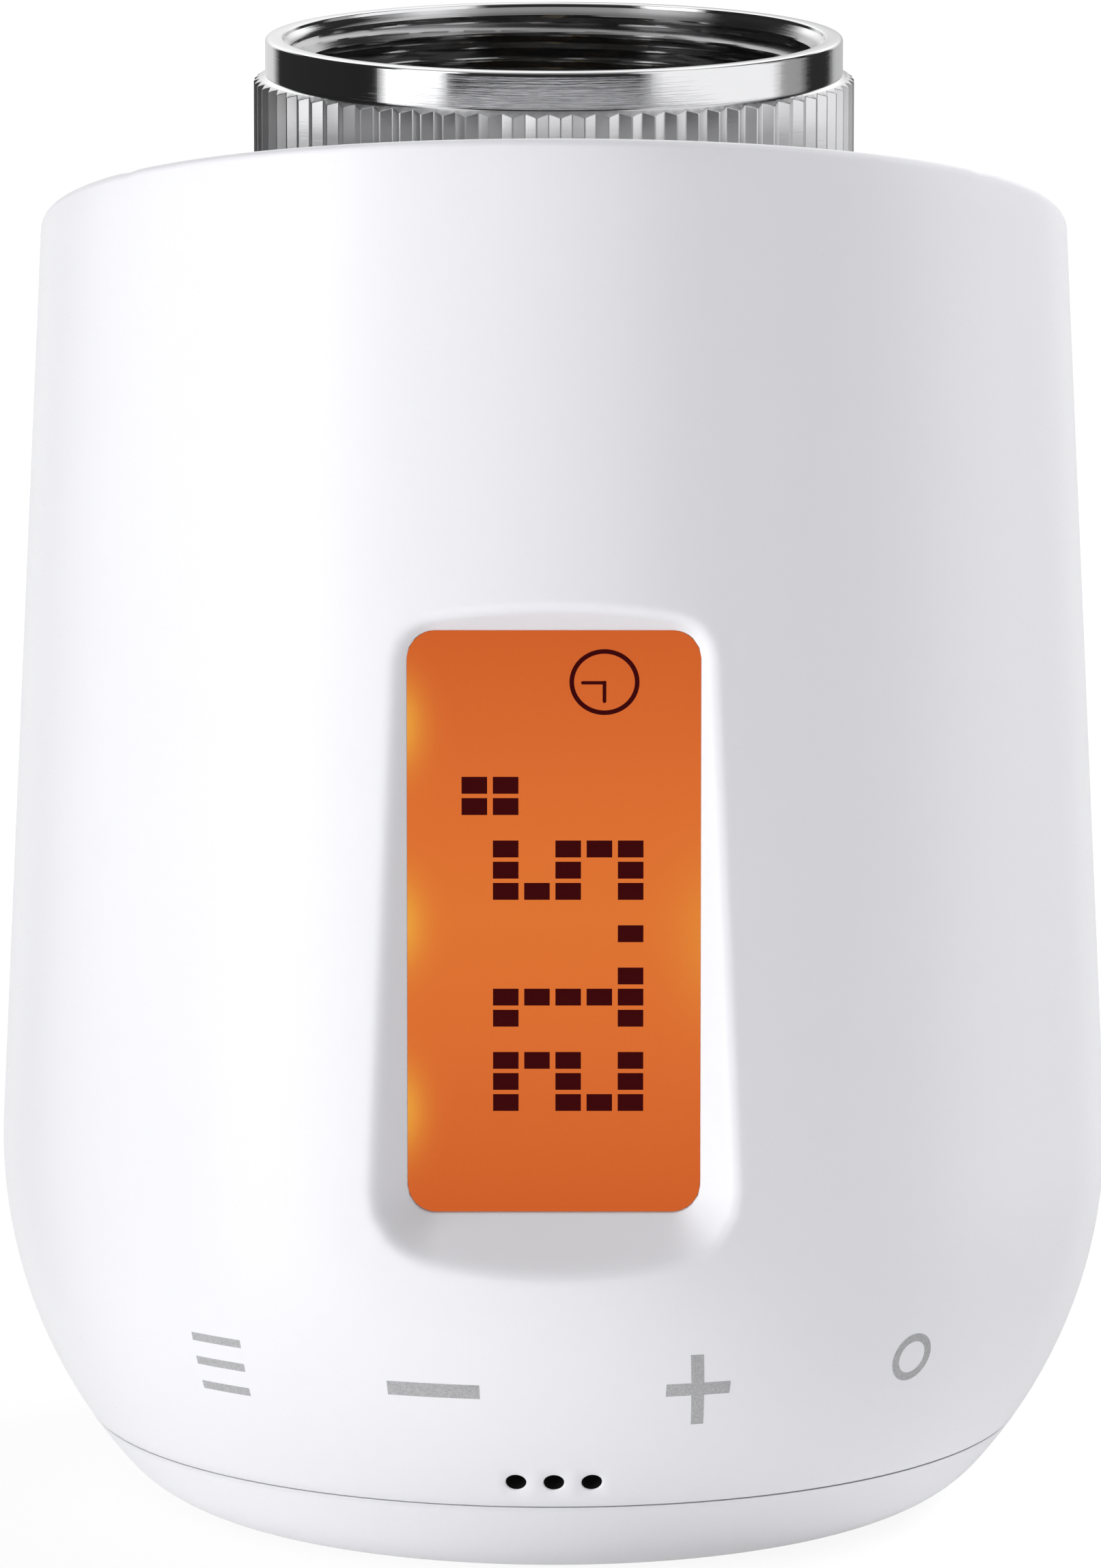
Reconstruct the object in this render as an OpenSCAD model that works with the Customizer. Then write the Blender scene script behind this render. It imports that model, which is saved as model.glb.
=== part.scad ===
// Electronic radiator thermostat: a battery driven barrel that screws onto a radiator valve.
// Origin at the centre of the foot. +Z runs to the union nut and the display faces -Y.

/* [Barrel] */
// Widest diameter of the barrel
barrel_d = 64; // [63:0.5:67]
// Height of the widest ring above the foot
belly_z = 20.8; // [20:0.2:22]
// Radius of the large curve below the widest ring
belly_r = 28; // [27.5:0.5:29]
// Radius of the edge round the foot
foot_r = 7.2; // [6.4:0.2:8]
// Lean of the side towards the axis, degrees
side_taper = 2.8; // [2:0.1:3]
// Wall of the outer shell
shell_wall = 2; // [1.8:0.1:2.2]

/* [Raked top] */
// Height of the rim at the two sides of the barrel
rim_z = 74.1; // [73.4:0.1:74.8]
// Slope of the top at the axis, degrees
rake_angle = 19; // [17.5:0.5:20]
// Radius of the shallow crown across the top
rake_r = 420; // [360:10:600]
// Thickness of the top cover
cover_t = 2; // [1.6:0.1:2.2]
// Depth of the top cover below the rim
cover_inset = 0.4; // [0.2:0.1:0.6]
// Width of the ledge that carries the top cover
ledge_w = 1.3; // [1:0.1:1.5]

/* [End cap] */
// Height of the seam between housing and end cap
seam_z = 4.95; // [4.4:0.1:5.2]
// Width of the seam
seam_gap = 0.16; // [0.1:0.02:0.3]
// Floor of the end cap
cap_floor = 2; // [1.8:0.1:2.2]
// Height that the spigot reaches into the housing
spigot_h = 2.2; // [1.8:0.1:2.4]
// Wall of the spigot
spigot_wall = 1.2; // [1:0.1:1.4]
// Number of grip ribs round the spigot
spigot_ribs = 8; // [4:1:12]

/* [Window] */
// Width of the window opening
window_w = 16.4; // [15.4:0.2:16.8]
// Height of the window opening
window_h = 33.1; // [31:0.1:34]
// Height of the middle of the window
window_z = 38.8; // [38.4:0.1:39.4]
// Depth of the flat window floor below the widest diameter
window_depth = 3.4; // [3.2:0.1:3.6]
// Corner radius of the window opening
window_corner = 1.6; // [1:0.1:2.2]
// Spread of the sloped bezel for each millimetre of depth
bezel_spread = 0.9; // [0.7:0.05:1.1]
// Wall left round the window opening
window_lip = 1.2; // [1:0.1:1.4]
// Flange of the lens behind the opening
lens_flange = 1; // [0.8:0.1:1.1]
// Thickness of the lens flange
lens_t = 1; // [0.8:0.1:1.2]

/* [Sensor holes] */
// Diameter of a sensor hole
sensor_hole_d = 1.15; // [0.9:0.05:1.4]
// Height of the sensor holes on the outer face
sensor_z = 6.6; // [6.4:0.1:7.2]
// Angle between neighbouring holes, degrees
sensor_pitch = 4.35; // [3.8:0.05:5]
// Number of sensor holes
sensor_holes = 3; // [1:1:5]

/* [Touch fields] */
// Height of the touch fields
touch_z = 12.6; // [12.2:0.1:13.6]
// Radius of a touch pad
touch_r = 2.6; // [2:0.1:2.8]
// Distance of the minus pad from the middle
minus_x = 6.7; // [6.4:0.1:7]
// Distance of the plus pad from the middle
plus_x = 8.1; // [7.8:0.1:8.4]
// Distance of the two outer pads from the middle
outer_x = 14.2; // [13.9:0.1:14.3]
// Rise of the two outer pads, where the board is wider
pad_rise = 2.2; // [2:0.1:2.4]

/* [Display module] */
// Width of the display glass
lcd_w = 18.2; // [17.6:0.1:18.4]
// Height of the display glass
lcd_h = 36; // [35.4:0.1:36.4]
// Thickness of the display glass
lcd_t = 2; // [1.6:0.1:2.2]
// Thickness of the light guide
guide_t = 2.5; // [2:0.1:2.8]
// Heights of the light sources at the left edge, from the window's middle
led_rise = [-10.4, 0, 11.6]; // [-11:0.1:12]
// Wall of the display frame
frame_wall = 1.4; // [1.2:0.1:1.5]
// Thickness of the circuit board
board_t = 1.6; // [1.2:0.1:1.8]
// Width of the circuit board
board_w = 34; // [30:0.5:34]
// Side of the controller chip
chip_w = 10; // [7:0.5:12]
// Thickness of the controller chip
chip_t = 1.2; // [0.8:0.1:1.4]
// Height of the controller chip's middle
chip_z = 30; // [28:0.5:34]
// Length of a contact foot of the chip
chip_foot = 0.9; // [0.6:0.1:1.2]
// Distance between contact feet
chip_pitch = 1; // [0.8:0.1:1.1]
// Width, thickness and length of the clock crystal
crystal = [4, 1.5, 8]; // [1:0.1:9]
// Width, thickness and length of the motor driver
driver = [5, 1.4, 4]; // [1:0.1:6]
// Width, thickness and length of a capacitor
capacitor = [3, 1, 1.6]; // [0.8:0.1:3.4]
// Radius and height of the choke
choke = [2, 2]; // [1.5:0.1:2.5]
// Place of the crystal's corner on the board, across and up
crystal_at = [7, 40]; // [5:0.5:44]
// Place of the driver's corner
driver_at = [-10.5, 20]; // [-12:0.5:24]
// Place of the capacitors: outer edge and height
capacitor_at = [5, 16]; // [4:0.5:18]
// Place of the choke's middle
choke_at = [9, 18]; // [8:0.5:20]
// Radius of the sensor bead
bead_r = 1.1; // [0.9:0.1:1.2]
// Side of a square sensor lead
lead_w = 0.3; // [0.2:0.05:0.4]
// Distance between the sensor leads
lead_pitch = 1; // [0.8:0.1:1.2]

/* [Batteries] */
// Diameter of a cell
cell_d = 14.5; // [14:0.1:14.6]
// Length of a cell over its button
cell_len = 50.5; // [50:0.1:50.6]
// Height of the lower end of the cells
cell_z = 5.2; // [5.1:0.1:5.4]
// Distance between the two cells
cell_pitch = 16; // [15.8:0.1:16.4]
// Distance of the cells behind the axis
cell_back = 12.5; // [12.2:0.1:12.7]
// Radius of the contact plate under a cell
plate_r = 5.6; // [5.3:0.1:5.8]
// Width of the bar between the contact plates
plate_bar = 6; // [5:0.5:8]
// Wall of the battery tubes
tube_wall = 1.2; // [1:0.1:1.3]

/* [Drive] */
// Tooth module of the gears
gear_m = 0.5; // [0.48:0.01:0.51]
// Teeth of every pinion
pinion_teeth = 10; // [10:1:11]
// Teeth of every wheel of the reduction
wheel_teeth = 30; // [29:1:30]
// Teeth of the wheel on the spindle
spindle_teeth = 36; // [34:1:36]
// Thickness of one gear
gear_t = 1.7; // [1.5:0.1:1.75]
// Gap between two layers of gears
layer_gap = 0.3; // [0.25:0.05:0.35]
// Diameter of the gear axles
axle_d = 1.5; // [1.2:0.1:1.6]
// Radius of the lead screw
screw_r = 2.9; // [2.6:0.1:2.95]
// Radius of the plunger
plunger_r = 5; // [4.6:0.1:5.2]
// Height of the plunger face when it is drawn in
plunger_z = 73; // [72.6:0.1:73.4]
// Diameter of the motor
motor_d = 12; // [11:0.5:12.5]
// Length of the motor
motor_len = 18; // [16:0.5:20]
// Radius and height of the boss round the motor shaft
motor_boss = [2, 1.2]; // [1.1:0.1:2.2]
// Length of the shaft inside the motor
shaft_in = 5.5; // [5:0.5:8]
// Size of a motor terminal
motor_tab = [0.8, 1.6, 2]; // [0.5:0.1:2.5]
// Distance of a motor terminal from the shaft
motor_tab_x = 3.6; // [3.2:0.1:4]
// Radius of the thrust washer under the spindle wheel
washer_r = 5.5; // [5:0.1:5.6]
// Height of the deck's upper face
deck_z = 59.5; // [59.3:0.1:59.6]
// Thickness of the deck
deck_t = 2; // [1.6:0.1:2.1]
// Radius of the deck
deck_r = 26; // [25.7:0.1:26.2]
// Height of the shell's lip round the deck
deck_lip = 0.5; // [0.4:0.1:0.8]
// Length of a deck screw
deck_screw_len = 9; // [7:0.5:9.5]
// Length of a gearbox screw
cover_screw_len = 5; // [4:0.5:5.5]
// Reach of the gearbox cover behind the axis
cover_back = 4.6; // [4.4:0.1:5]
// Radius of the lowest turn of a cap spring
spring_r = 4.6; // [4.4:0.1:4.8]
// Step in of each further turn of a cap spring
spring_step = 0.55; // [0.5:0.01:0.6]

/* [Union nut] */
// Height of the mouth of the nut
nut_top = 84.9; // [84.4:0.1:85.4]
// Height of the lower face of the nut
nut_bottom = 69.9; // [69.6:0.1:70.2]
// Diameter over the knurl
knurl_d = 34.4; // [34:0.1:34.6]
// Number of knurl teeth
knurl_teeth = 80; // [60:1:90]
// Depth of the knurl
knurl_depth = 0.38; // [0.2:0.02:0.45]
// Diameter of the smooth ring at the mouth
ring_d = 33.1; // [32.6:0.1:33.4]
// Height of the smooth ring
ring_h = 2.1; // [1.6:0.1:2.6]
// Minor diameter of the M30 x 1.5 thread
thread_minor_d = 28.38; // [28.3:0.01:28.5]
// Diameter of the mouth chamfer
mouth_d = 30.5; // [30.2:0.1:31]
// Diameter of the bore through the lower flange of the nut
nut_neck_d = 26.5; // [26.2:0.1:26.8]
// Thickness of the lower flange of the nut
nut_flange_t = 2.5; // [2:0.1:2.6]

/* [Collar] */
// Bore of the collar, for the tail of the valve
collar_bore = 23.2; // [22.6:0.1:23.6]
// Diameter of the base flange of the collar
collar_flange_d = 33.6; // [33:0.1:34]
// Thickness of the base flange of the collar
collar_flange_t = 2; // [1.8:0.1:2.1]

/* [Fits] */
// Clearance between fixed parts
fit = 0.15; // [0.1:0.01:0.2]
// Radial clearance of shafts and running faces
run = 0.05; // [0.03:0.01:0.08]
// Clearance round the turning nut
nut_gap = 0.25; // [0.15:0.05:0.35]
// Clearance round the deck and the gearbox cover
deck_gap = 0.3; // [0.2:0.05:0.5]
// Clearance between the chassis floor and the shell
floor_gap = 0.4; // [0.3:0.1:0.6]

/* [Hidden] */
$fn = 96;
eps = 0.01;

// Barrel section: two arcs and a straight side
belly_c = [barrel_d / 2 - belly_r, belly_z];
foot_turn = asin((belly_z - foot_r) / (belly_r - foot_r));
foot_c = belly_c + (belly_r - foot_r) * [cos(foot_turn), -sin(foot_turn)];
tall_z = nut_top + 10;
wide = barrel_d + 10;
rake_c = [-rake_r * sin(rake_angle), rim_z - rake_r * cos(rake_angle)];

// Radius of the barrel face at height z, inset from the outer face
function side_r(z, inset = 0) =
    let (r = belly_r - inset, zt = belly_z + r * sin(side_taper))
    z > zt ? belly_c[0] + r * cos(side_taper) - (z - zt) * tan(side_taper)
    : belly_c[0] + sqrt(r * r - pow(z - belly_z, 2));
function polar(r, a) = [r * cos(a), r * sin(a)];

// Window and display stack, measured along Y from the front
window_y = -barrel_d / 2 + window_depth;
lens_y = window_y + window_lip;
lcd_y = lens_y + lens_t + fit;
guide_y = lcd_y + lcd_t + fit;
board_y = guide_y + guide_t + 0.9;
board_back = board_y + board_t;
frame_y = guide_y - 0.9;
led_size = [1, 2.2, 3];
guide_w = lcd_w - 1;
strip_h = 2;
guide_h = lcd_h - 2 * strip_h - 2 * fit;
board_z = [10.2, deck_z - deck_t - 0.4];

// Chassis, batteries and end cap
spigot_r = side_r(seam_z, shell_wall) - 0.2;
spigot_top = seam_z + spigot_h;
tube_z = spigot_top + 0.45;
tube_r = cell_d / 2 + 0.3;
floor_t = 1.4;
rail_w = 2;
cell_at = [[-cell_pitch / 2, cell_back], [cell_pitch / 2, cell_back]];
contact_t = 0.3;
spring_wire = 0.45;
button_r = 2.75;
button_h = 1;
button_gap = 0.1;
deck_low = deck_z - deck_t;
deck_ledge = 1.4;
boss_r = 3;
boss_web = 4.6;
boss_len = 11;
deck_screw_r = (cell_back + tube_r + tube_wall + deck_r) / 2;
deck_screw_at = [for (a = [20, 90, 160]) polar(deck_screw_r, a)];
thread_r = 0.9;
head_r = 1.8;
head_h = 1.3;

// Gear train: layers above the deck and shaft positions from the centre distances
function layer_z(n) = deck_z + layer_gap + 0.1 + n * (gear_t + layer_gap);
function gear_gap(a, b) = gear_m * (a + b) / 2;
gear3_at = polar(gear_gap(pinion_teeth, spindle_teeth), -30);
gear2_at = gear3_at + polar(gear_gap(pinion_teeth, wheel_teeth), -120);
gear1_at = gear2_at + polar(gear_gap(pinion_teeth, wheel_teeth), -165);
motor_at = gear1_at + polar(gear_gap(pinion_teeth, wheel_teeth), 125);
// Turn that puts gear b in mesh with gear a, which stands turned by phase_a
function mesh_turn(at_a, at_b, teeth_a, teeth_b, phase_a) =
    let (d = at_b - at_a, line = atan2(d[1], d[0]))
    line + 180 - (360 / teeth_b) * ((phase_a - line) * teeth_a / 360 + 0.5);
gear3_turn = mesh_turn([0, 0], gear3_at, spindle_teeth, pinion_teeth, 0);
gear2_turn = mesh_turn(gear3_at, gear2_at, wheel_teeth, pinion_teeth, gear3_turn);
gear1_turn = mesh_turn(gear2_at, gear1_at, wheel_teeth, pinion_teeth, gear2_turn);
motor_turn = mesh_turn(gear1_at, motor_at, wheel_teeth, pinion_teeth, gear1_turn);
cover_low = layer_z(3);
cover_plate_t = 1.6;
cover_top = cover_low + cover_plate_t;
cover_r = deck_r;
neck_r = collar_flange_d / 2;
post_r = 2.2;
well_r = max(knurl_d, collar_flange_d) / 2 + nut_gap;
well_wall = 1;
post_ring = (well_r + well_wall + deck_r) / 2;
post_at = [polar(post_ring, 8), polar(post_ring, 175), [0, neck_r - 2.6]];
hub_r = screw_r + 0.3;
pivot_r = 1.5;
pivot_len = 1.7;
axle_sink = 1.5;

// Collar, plunger and nut
collar_z = cover_top + 0.05;
collar_face = collar_z + collar_flange_t;
washer_t = nut_bottom - collar_face - 0.05;
collar_r = nut_neck_d / 2 - run - 0.05;
ring_z = nut_bottom + nut_flange_t + 0.15;
snap_t = 1;
snap_r = collar_r + 1.3;
groove_depth = 0.5;
collar_top = ring_z + snap_t + 0.6;
relief_r = snap_r + 0.7;
relief_top = collar_top + 0.3;
collar_screw_ring = (neck_r + collar_r) / 2 + 0.05;
guide_r = plunger_r + run;
guide_wall = 2;
guide_top = plunger_z - 1.8;
key_w = 1.6;
key_h = 1;
key_len = 2.4;
plunger_low = cover_low + 0.2;
screw_top = plunger_z - 1.1;
chamfer = 0.25;
knurl_top = nut_top - ring_h;
bevel = (knurl_d - ring_d) / 2;
bevel_h = 0.6 * bevel;
low_bevel = 0.4;

module slice(c, r, a0, a1) {
    // Pie slice of a disc between two angles
    reach = 1.5 * r;
    intersection() {
        translate(c) circle(r, $fn = 180);
        polygon([c, c + polar(reach, a0), c + polar(reach, (a0 + a1) / 2), c + polar(reach, a1)]);
    }
}

module barrel_half(inset = 0) {
    // The straight part and the two arcs overlap inside the outline, so that they join without gaps
    r = belly_r - inset;
    side = belly_c + polar(r, side_taper);
    rise = tall_z - side[1];
    polygon([
        [0, inset], [foot_c[0], inset], foot_c, belly_c + polar(r / 2, 0), side,
        [side[0] - rise * tan(side_taper), tall_z], [0, tall_z]
    ]);
    slice(foot_c, foot_r - inset, -120, 30 - foot_turn);
    slice(belly_c, r, -foot_turn, 30 + side_taper);
}

module barrel(inset, z0, z1) {
    rotate_extrude($fn = 180)
        intersection() {
            barrel_half(inset);
            translate([0, z0]) square([wide, z1 - z0]);
        }
}

module rake_below(drop) {
    // Everything below the crowned, raked top
    translate([-wide / 2, rake_c[0], rake_c[1]])
        rotate([0, 90, 0])
            cylinder(r = rake_r - drop, h = wide, $fn = 720);
}

module tube(r_out, r_in, h) {
    difference() {
        cylinder(r = r_out, h = h);
        translate([0, 0, -eps]) cylinder(r = r_in, h = h + 2 * eps);
    }
}

module rounded(w, h, r) {
    // Rounded rectangle in the XY plane
    square([w - 2 * r, h], center = true);
    square([w, h - 2 * r], center = true);
    for (x = [-1, 1], y = [-1, 1])
        translate([x * (w / 2 - r), y * (h / 2 - r)]) circle(r, $fn = 32);
}

module facing(y, z) {
    // Turns a flat drawing to face -Y and puts it at depth y
    translate([0, y, z]) rotate([90, 0, 0]) children();
}

module slab(w, h, y0, y1, z = window_z) {
    translate([-w / 2, y0, z - h / 2]) cube([w, y1 - y0, h]);
}

module screw(len) {
    // Screw with its head up and the seat of the head at the origin
    translate([0, 0, -len]) cylinder(r = thread_r, h = len, $fn = 24);
    cylinder(r1 = head_r, r2 = head_r * 0.8, h = head_h, $fn = 24);
}

// --- Outer shell -----------------------------------------------------------------------------

module window_funnel() {
    // Sloped bezel: grows outwards from the flat floor of the window
    spread = bezel_spread * (window_depth + 1);
    half_w = window_w / 2 - window_corner;
    half_h = window_h / 2 - window_corner;
    facing(window_y + eps, window_z)
        hull()
            for (x = [-half_w, half_w], y = [-half_h, half_h])
                translate([x, y, 0])
                    cylinder(
                        r1 = window_corner, r2 = window_corner + spread,
                        h = window_depth + 1, $fn = 32
                    );
}

module sensor_bores() {
    // Each hole stands square to the curved face, so its axis runs through the centre of the curve
    lift = atan2(belly_z - sensor_z, side_r(sensor_z) - belly_c[0]);
    for (i = [0 : sensor_holes - 1])
        rotate([0, 0, (i - (sensor_holes - 1) / 2) * sensor_pitch])
            translate([0, -belly_c[0], belly_z])
                rotate([90 + lift, 0, 0])
                    translate([0, 0, belly_r - 2 * shell_wall])
                        cylinder(d = sensor_hole_d, h = 3 * shell_wall, $fn = 24);
}

module housing() {
    low = seam_z + seam_gap / 2;
    pad_h = window_h + 6;
    pad_w = lcd_w + 4;
    pad_z = window_z - pad_h / 2 - 1;
    ledge_t = 1.3;
    ledge_top = cover_inset + cover_t + 0.1;
    ledge_low = deck_low - deck_ledge;
    boss_low = deck_low - boss_len;
    seat_w = lcd_w + 2 * lens_flange - 0.4;
    seat_h = window_h + 2 * lens_flange + 0.6;
    color("white")
    difference() {
        intersection() {
            union() {
                difference() {
                    barrel(0, low, tall_z - 1);
                    barrel(shell_wall, low - eps, tall_z);
                }
                // Flat pad behind the window
                intersection() {
                    barrel(shell_wall / 2, pad_z, pad_z + pad_h + 2);
                    slab(pad_w, pad_h, -barrel_d / 2, lens_y);
                }
                // Ledge of the top cover, along the rake
                intersection() {
                    difference() {
                        barrel(shell_wall / 2, ledge_low, tall_z - 1);
                        barrel(shell_wall + ledge_w, ledge_low - 1, tall_z);
                    }
                    difference() {
                        rake_below(ledge_top);
                        rake_below(ledge_top + ledge_t);
                    }
                }
                // Ledge and bosses of the deck, with a lip round it
                difference() {
                    union() {
                        difference() {
                            barrel(shell_wall / 2, ledge_low, deck_low + deck_lip);
                            translate([0, 0, ledge_low - 1]) cylinder(r = deck_r - 0.9, h = deck_z);
                        }
                        intersection() {
                            barrel(shell_wall / 2, boss_low, deck_low + deck_lip);
                            for (p = deck_screw_at)
                                translate([p[0], p[1], boss_low - 1])
                                    linear_extrude(boss_len + 2)
                                        union() {
                                            circle(boss_r, $fn = 48);
                                            rotate(atan2(p[1], p[0]))
                                                translate([0, -boss_web / 2])
                                                    square([barrel_d / 2 - norm(p), boss_web]);
                                        }
                        }
                    }
                    slab(board_w + 4, wide, -wide / 2, board_back + rail_w + 0.1 + fit, deck_z);
                }
            }
            rake_below(0);
        }
        // Seat of the deck and the gearbox cover, pilot holes and room for the battery tubes
        translate([0, 0, deck_low - run])
            cylinder(r = deck_r + deck_gap, h = cover_top + fit - deck_low + run);
        for (p = deck_screw_at)
            translate([p[0], p[1], boss_low + 1])
                cylinder(r = thread_r + 0.02, h = boss_len, $fn = 24);
        for (p = cell_at)
            translate([p[0], p[1], low - 1])
                cylinder(r = tube_r + tube_wall + fit, h = deck_z - low + 1);
        // Seat of the lens and of the display behind it
        slab(seat_w, seat_h, lens_y, frame_y);
        facing(lens_y + eps, window_z)
            linear_extrude(window_lip + 2 * eps) rounded(window_w, window_h, window_corner);
        window_funnel();
        sensor_bores();
    }
}

module top_cover() {
    color("gainsboro")
    difference() {
        intersection() {
            union() {
                difference() {
                    barrel(shell_wall + fit, deck_z, tall_z - 1);
                    rake_below(cover_inset + cover_t);
                }
                // Wall of the well round the nut
                translate([0, 0, cover_top + fit])
                    cylinder(r = well_r + well_wall, h = tall_z - cover_top - 2);
            }
            rake_below(cover_inset);
        }
        translate([0, 0, deck_z - 1]) cylinder(r = well_r, h = tall_z);
    }
}

module end_cap() {
    color("white")
    difference() {
        union() {
            barrel(0, 0, seam_z - seam_gap / 2);
            translate([0, 0, seam_z - 1]) cylinder(r = spigot_r, h = spigot_top - seam_z + 1);
            for (i = [0 : spigot_ribs - 1])
                rotate([0, 0, (i + 0.5) * 360 / spigot_ribs])
                    translate([spigot_r - 0.3, -0.5, seam_z - 1])
                        cube([0.4, 1, spigot_top - seam_z + 0.6]);
        }
        // Hollow of the cap, with room for the cells
        translate([0, 0, cap_floor]) cylinder(r = spigot_r - spigot_wall, h = spigot_top);
        for (p = cell_at)
            translate([p[0], p[1], cap_floor]) cylinder(r = tube_r, h = spigot_top);
    }
}

// --- Display ---------------------------------------------------------------------------------

module window_lens() {
    color("lightgrey", 0.5) {
        facing(lens_y + eps, window_z)
            linear_extrude(window_lip - 0.2)
                rounded(window_w - 2 * 0.05, window_h - 2 * 0.05, window_corner);
        facing(lens_y + lens_t, window_z)
            linear_extrude(lens_t)
                rounded(lcd_w + 2 * lens_flange - 0.7, window_h + 2 * lens_flange, window_corner);
    }
}

module lcd_panel() {
    color("darkorange")
        slab(lcd_w, lcd_h, lcd_y, lcd_y + lcd_t);
}

module light_guide() {
    color("ivory")
        slab(guide_w, guide_h, guide_y, guide_y + guide_t);
}

module backlight_leds() {
    // Three light sources at the left edge and one at the right
    color("gold") {
        for (z = led_rise)
            translate([-guide_w / 2 - led_size[0] - 0.05, guide_y, window_z + z - led_size[2] / 2])
                cube(led_size);
        translate([guide_w / 2 + 0.05, guide_y, window_z - led_size[2] / 2]) cube(led_size);
    }
}

module display_frame() {
    out_w = guide_w + 2 * (led_size[0] + 0.15 + frame_wall);
    out_h = lcd_h + 2 * (fit + 0.4);
    color("dimgray")
    difference() {
        slab(out_w, out_h, frame_y, board_y - 0.1);
        slab(lcd_w + 2 * fit, lcd_h + 2 * fit, frame_y - 1, guide_y - fit + eps);
        slab(guide_w + 2 * (led_size[0] + 0.15), lcd_h - 0.2, guide_y - fit, board_y);
    }
}

module zebra_strips() {
    // Rubber contact strips that join the glass to the board, above and below the light guide
    color("hotpink")
        for (s = [-1, 1])
            slab(guide_w - 1, strip_h - 0.3, guide_y, board_y - 0.05,
                window_z + s * (guide_h / 2 + 0.1 + strip_h / 2));
}

module circuit_board() {
    cut = 4;
    half = board_w / 2;
    color("seagreen")
    facing(board_back, 0)
        linear_extrude(board_t)
            polygon([
                [-half + cut, board_z[0]], [half - cut, board_z[0]], [half, board_z[0] + cut],
                [half, board_z[1]], [-half, board_z[1]], [-half, board_z[0] + cut]
            ]);
}

module controller_chip() {
    rows = floor((chip_w / 2 - 0.7) / chip_pitch);
    foot = [chip_foot + 0.1, chip_t * 0.4, chip_pitch * 0.4];
    color("black") {
        slab(chip_w, chip_w, board_back, board_back + chip_t, chip_z);
        for (i = [-rows : rows], s = [-1, 1])
            translate([
                s * (chip_w + chip_foot - 0.1) / 2 - foot[0] / 2, board_back,
                chip_z + i * chip_pitch - foot[2] / 2
            ])
                cube(foot);
    }
}

module board_parts() {
    // Crystal, capacitors and the motor driver on the back of the board
    color("silver") {
        translate([crystal_at[0], board_back, crystal_at[1]]) cube(crystal);
        translate([driver_at[0], board_back, driver_at[1]]) cube(driver);
        translate([-capacitor_at[0], board_back, capacitor_at[1]]) cube(capacitor);
        translate([capacitor_at[0] - capacitor[0], board_back, capacitor_at[1]]) cube(capacitor);
        translate([choke_at[0], board_back, choke_at[1]])
            rotate([-90, 0, 0]) cylinder(r = choke[0], h = choke[1]);
    }
}

module touch_pads() {
    // Conductive foam between the board and the shell, one behind each touch field
    pads = [[-outer_x, pad_rise], [-minus_x, 0], [plus_x, 0], [outer_x, pad_rise]];
    color("darkslategray")
    intersection() {
        barrel(shell_wall + 0.1, touch_z - 2 * touch_r, touch_z + pad_rise + 2 * touch_r);
        for (p = pads)
            translate([p[0], board_y, touch_z + p[1]])
                rotate([90, 0, 0]) cylinder(r = touch_r, h = wide / 2, $fn = 32);
    }
}

module temperature_sensor() {
    // Bead on two leads, behind the sensor holes
    lead_len = 3;
    color("black") {
        translate([0, board_y - bead_r + 0.1, board_z[0] - bead_r + 0.1]) sphere(r = bead_r, $fn = 32);
        for (s = [-1, 1])
            translate([
                (s * lead_pitch - lead_w) / 2, board_y - lead_w - 0.05, board_z[0] - bead_r - 0.1
            ])
                cube([lead_w, lead_w, lead_len]);
    }
}

// --- Chassis, batteries and end contacts ------------------------------------------------------

module chassis() {
    rail_x = board_w / 2 - 3;
    color("slategray")
    difference() {
        union() {
            translate([0, 0, deck_low]) cylinder(r = deck_r, h = deck_t);
            for (p = cell_at)
                translate([p[0], p[1], tube_z]) cylinder(r = tube_r + tube_wall, h = deck_z - tube_z - eps);
            // Floor above the end cap, open in front for the air to the sensor
            intersection() {
                barrel(shell_wall + floor_gap, tube_z, tube_z + floor_t);
                translate([0, 0, tube_z - 1]) cylinder(r = deck_r, h = floor_t + 2);
                translate([-wide / 2, board_y + 0.1, 0]) cube([wide, wide, wide]);
            }
            for (s = [-1, 1])
                translate([s * rail_x - rail_w / 2, board_back + 0.1, tube_z])
                    cube([rail_w, rail_w, deck_z - tube_z - eps]);
            for (p = post_at)
                translate([p[0], p[1], deck_low]) cylinder(r = post_r, h = cover_low - deck_low - 0.05);
        }
        for (p = cell_at)
            translate([p[0], p[1], tube_z - eps]) cylinder(r = tube_r, h = deck_low - tube_z);
        for (p = post_at)
            translate([p[0], p[1], deck_low + 1]) cylinder(r = thread_r + 0.02, h = 20, $fn = 24);
        for (p = deck_screw_at)
            translate([p[0], p[1], deck_low - 1]) cylinder(r = thread_r + 0.2, h = 20, $fn = 24);
        for (p = [gear1_at, gear2_at, gear3_at])
            translate([p[0], p[1], deck_z - axle_sink]) cylinder(d = axle_d + 0.02, h = 5);
        translate([0, 0, deck_z - pivot_len]) cylinder(r = pivot_r + run, h = 5);
        translate([motor_at[0], motor_at[1], deck_low - 1]) cylinder(r = 2.1, h = 5);
        translate([motor_at[0], motor_at[1], deck_low - motor_len - 3])
            cylinder(d = motor_d + 4 * fit, h = motor_len + 3);
    }
}

module deck_screws() {
    color("silver")
        for (p = deck_screw_at)
            translate([p[0], p[1], deck_z + 0.02]) screw(deck_screw_len);
}

module cell(up) {
    // One cell, with its button up or down
    body = cell_len - button_h;
    color("royalblue") {
        translate([0, 0, up ? 0 : button_h]) cylinder(d = cell_d, h = body);
        translate([0, 0, up ? body - eps : 0]) cylinder(r = button_r, h = button_h + eps);
    }
}

module battery_a() {
    translate([cell_at[0][0], cell_at[0][1], cell_z]) cell(true);
}

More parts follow.
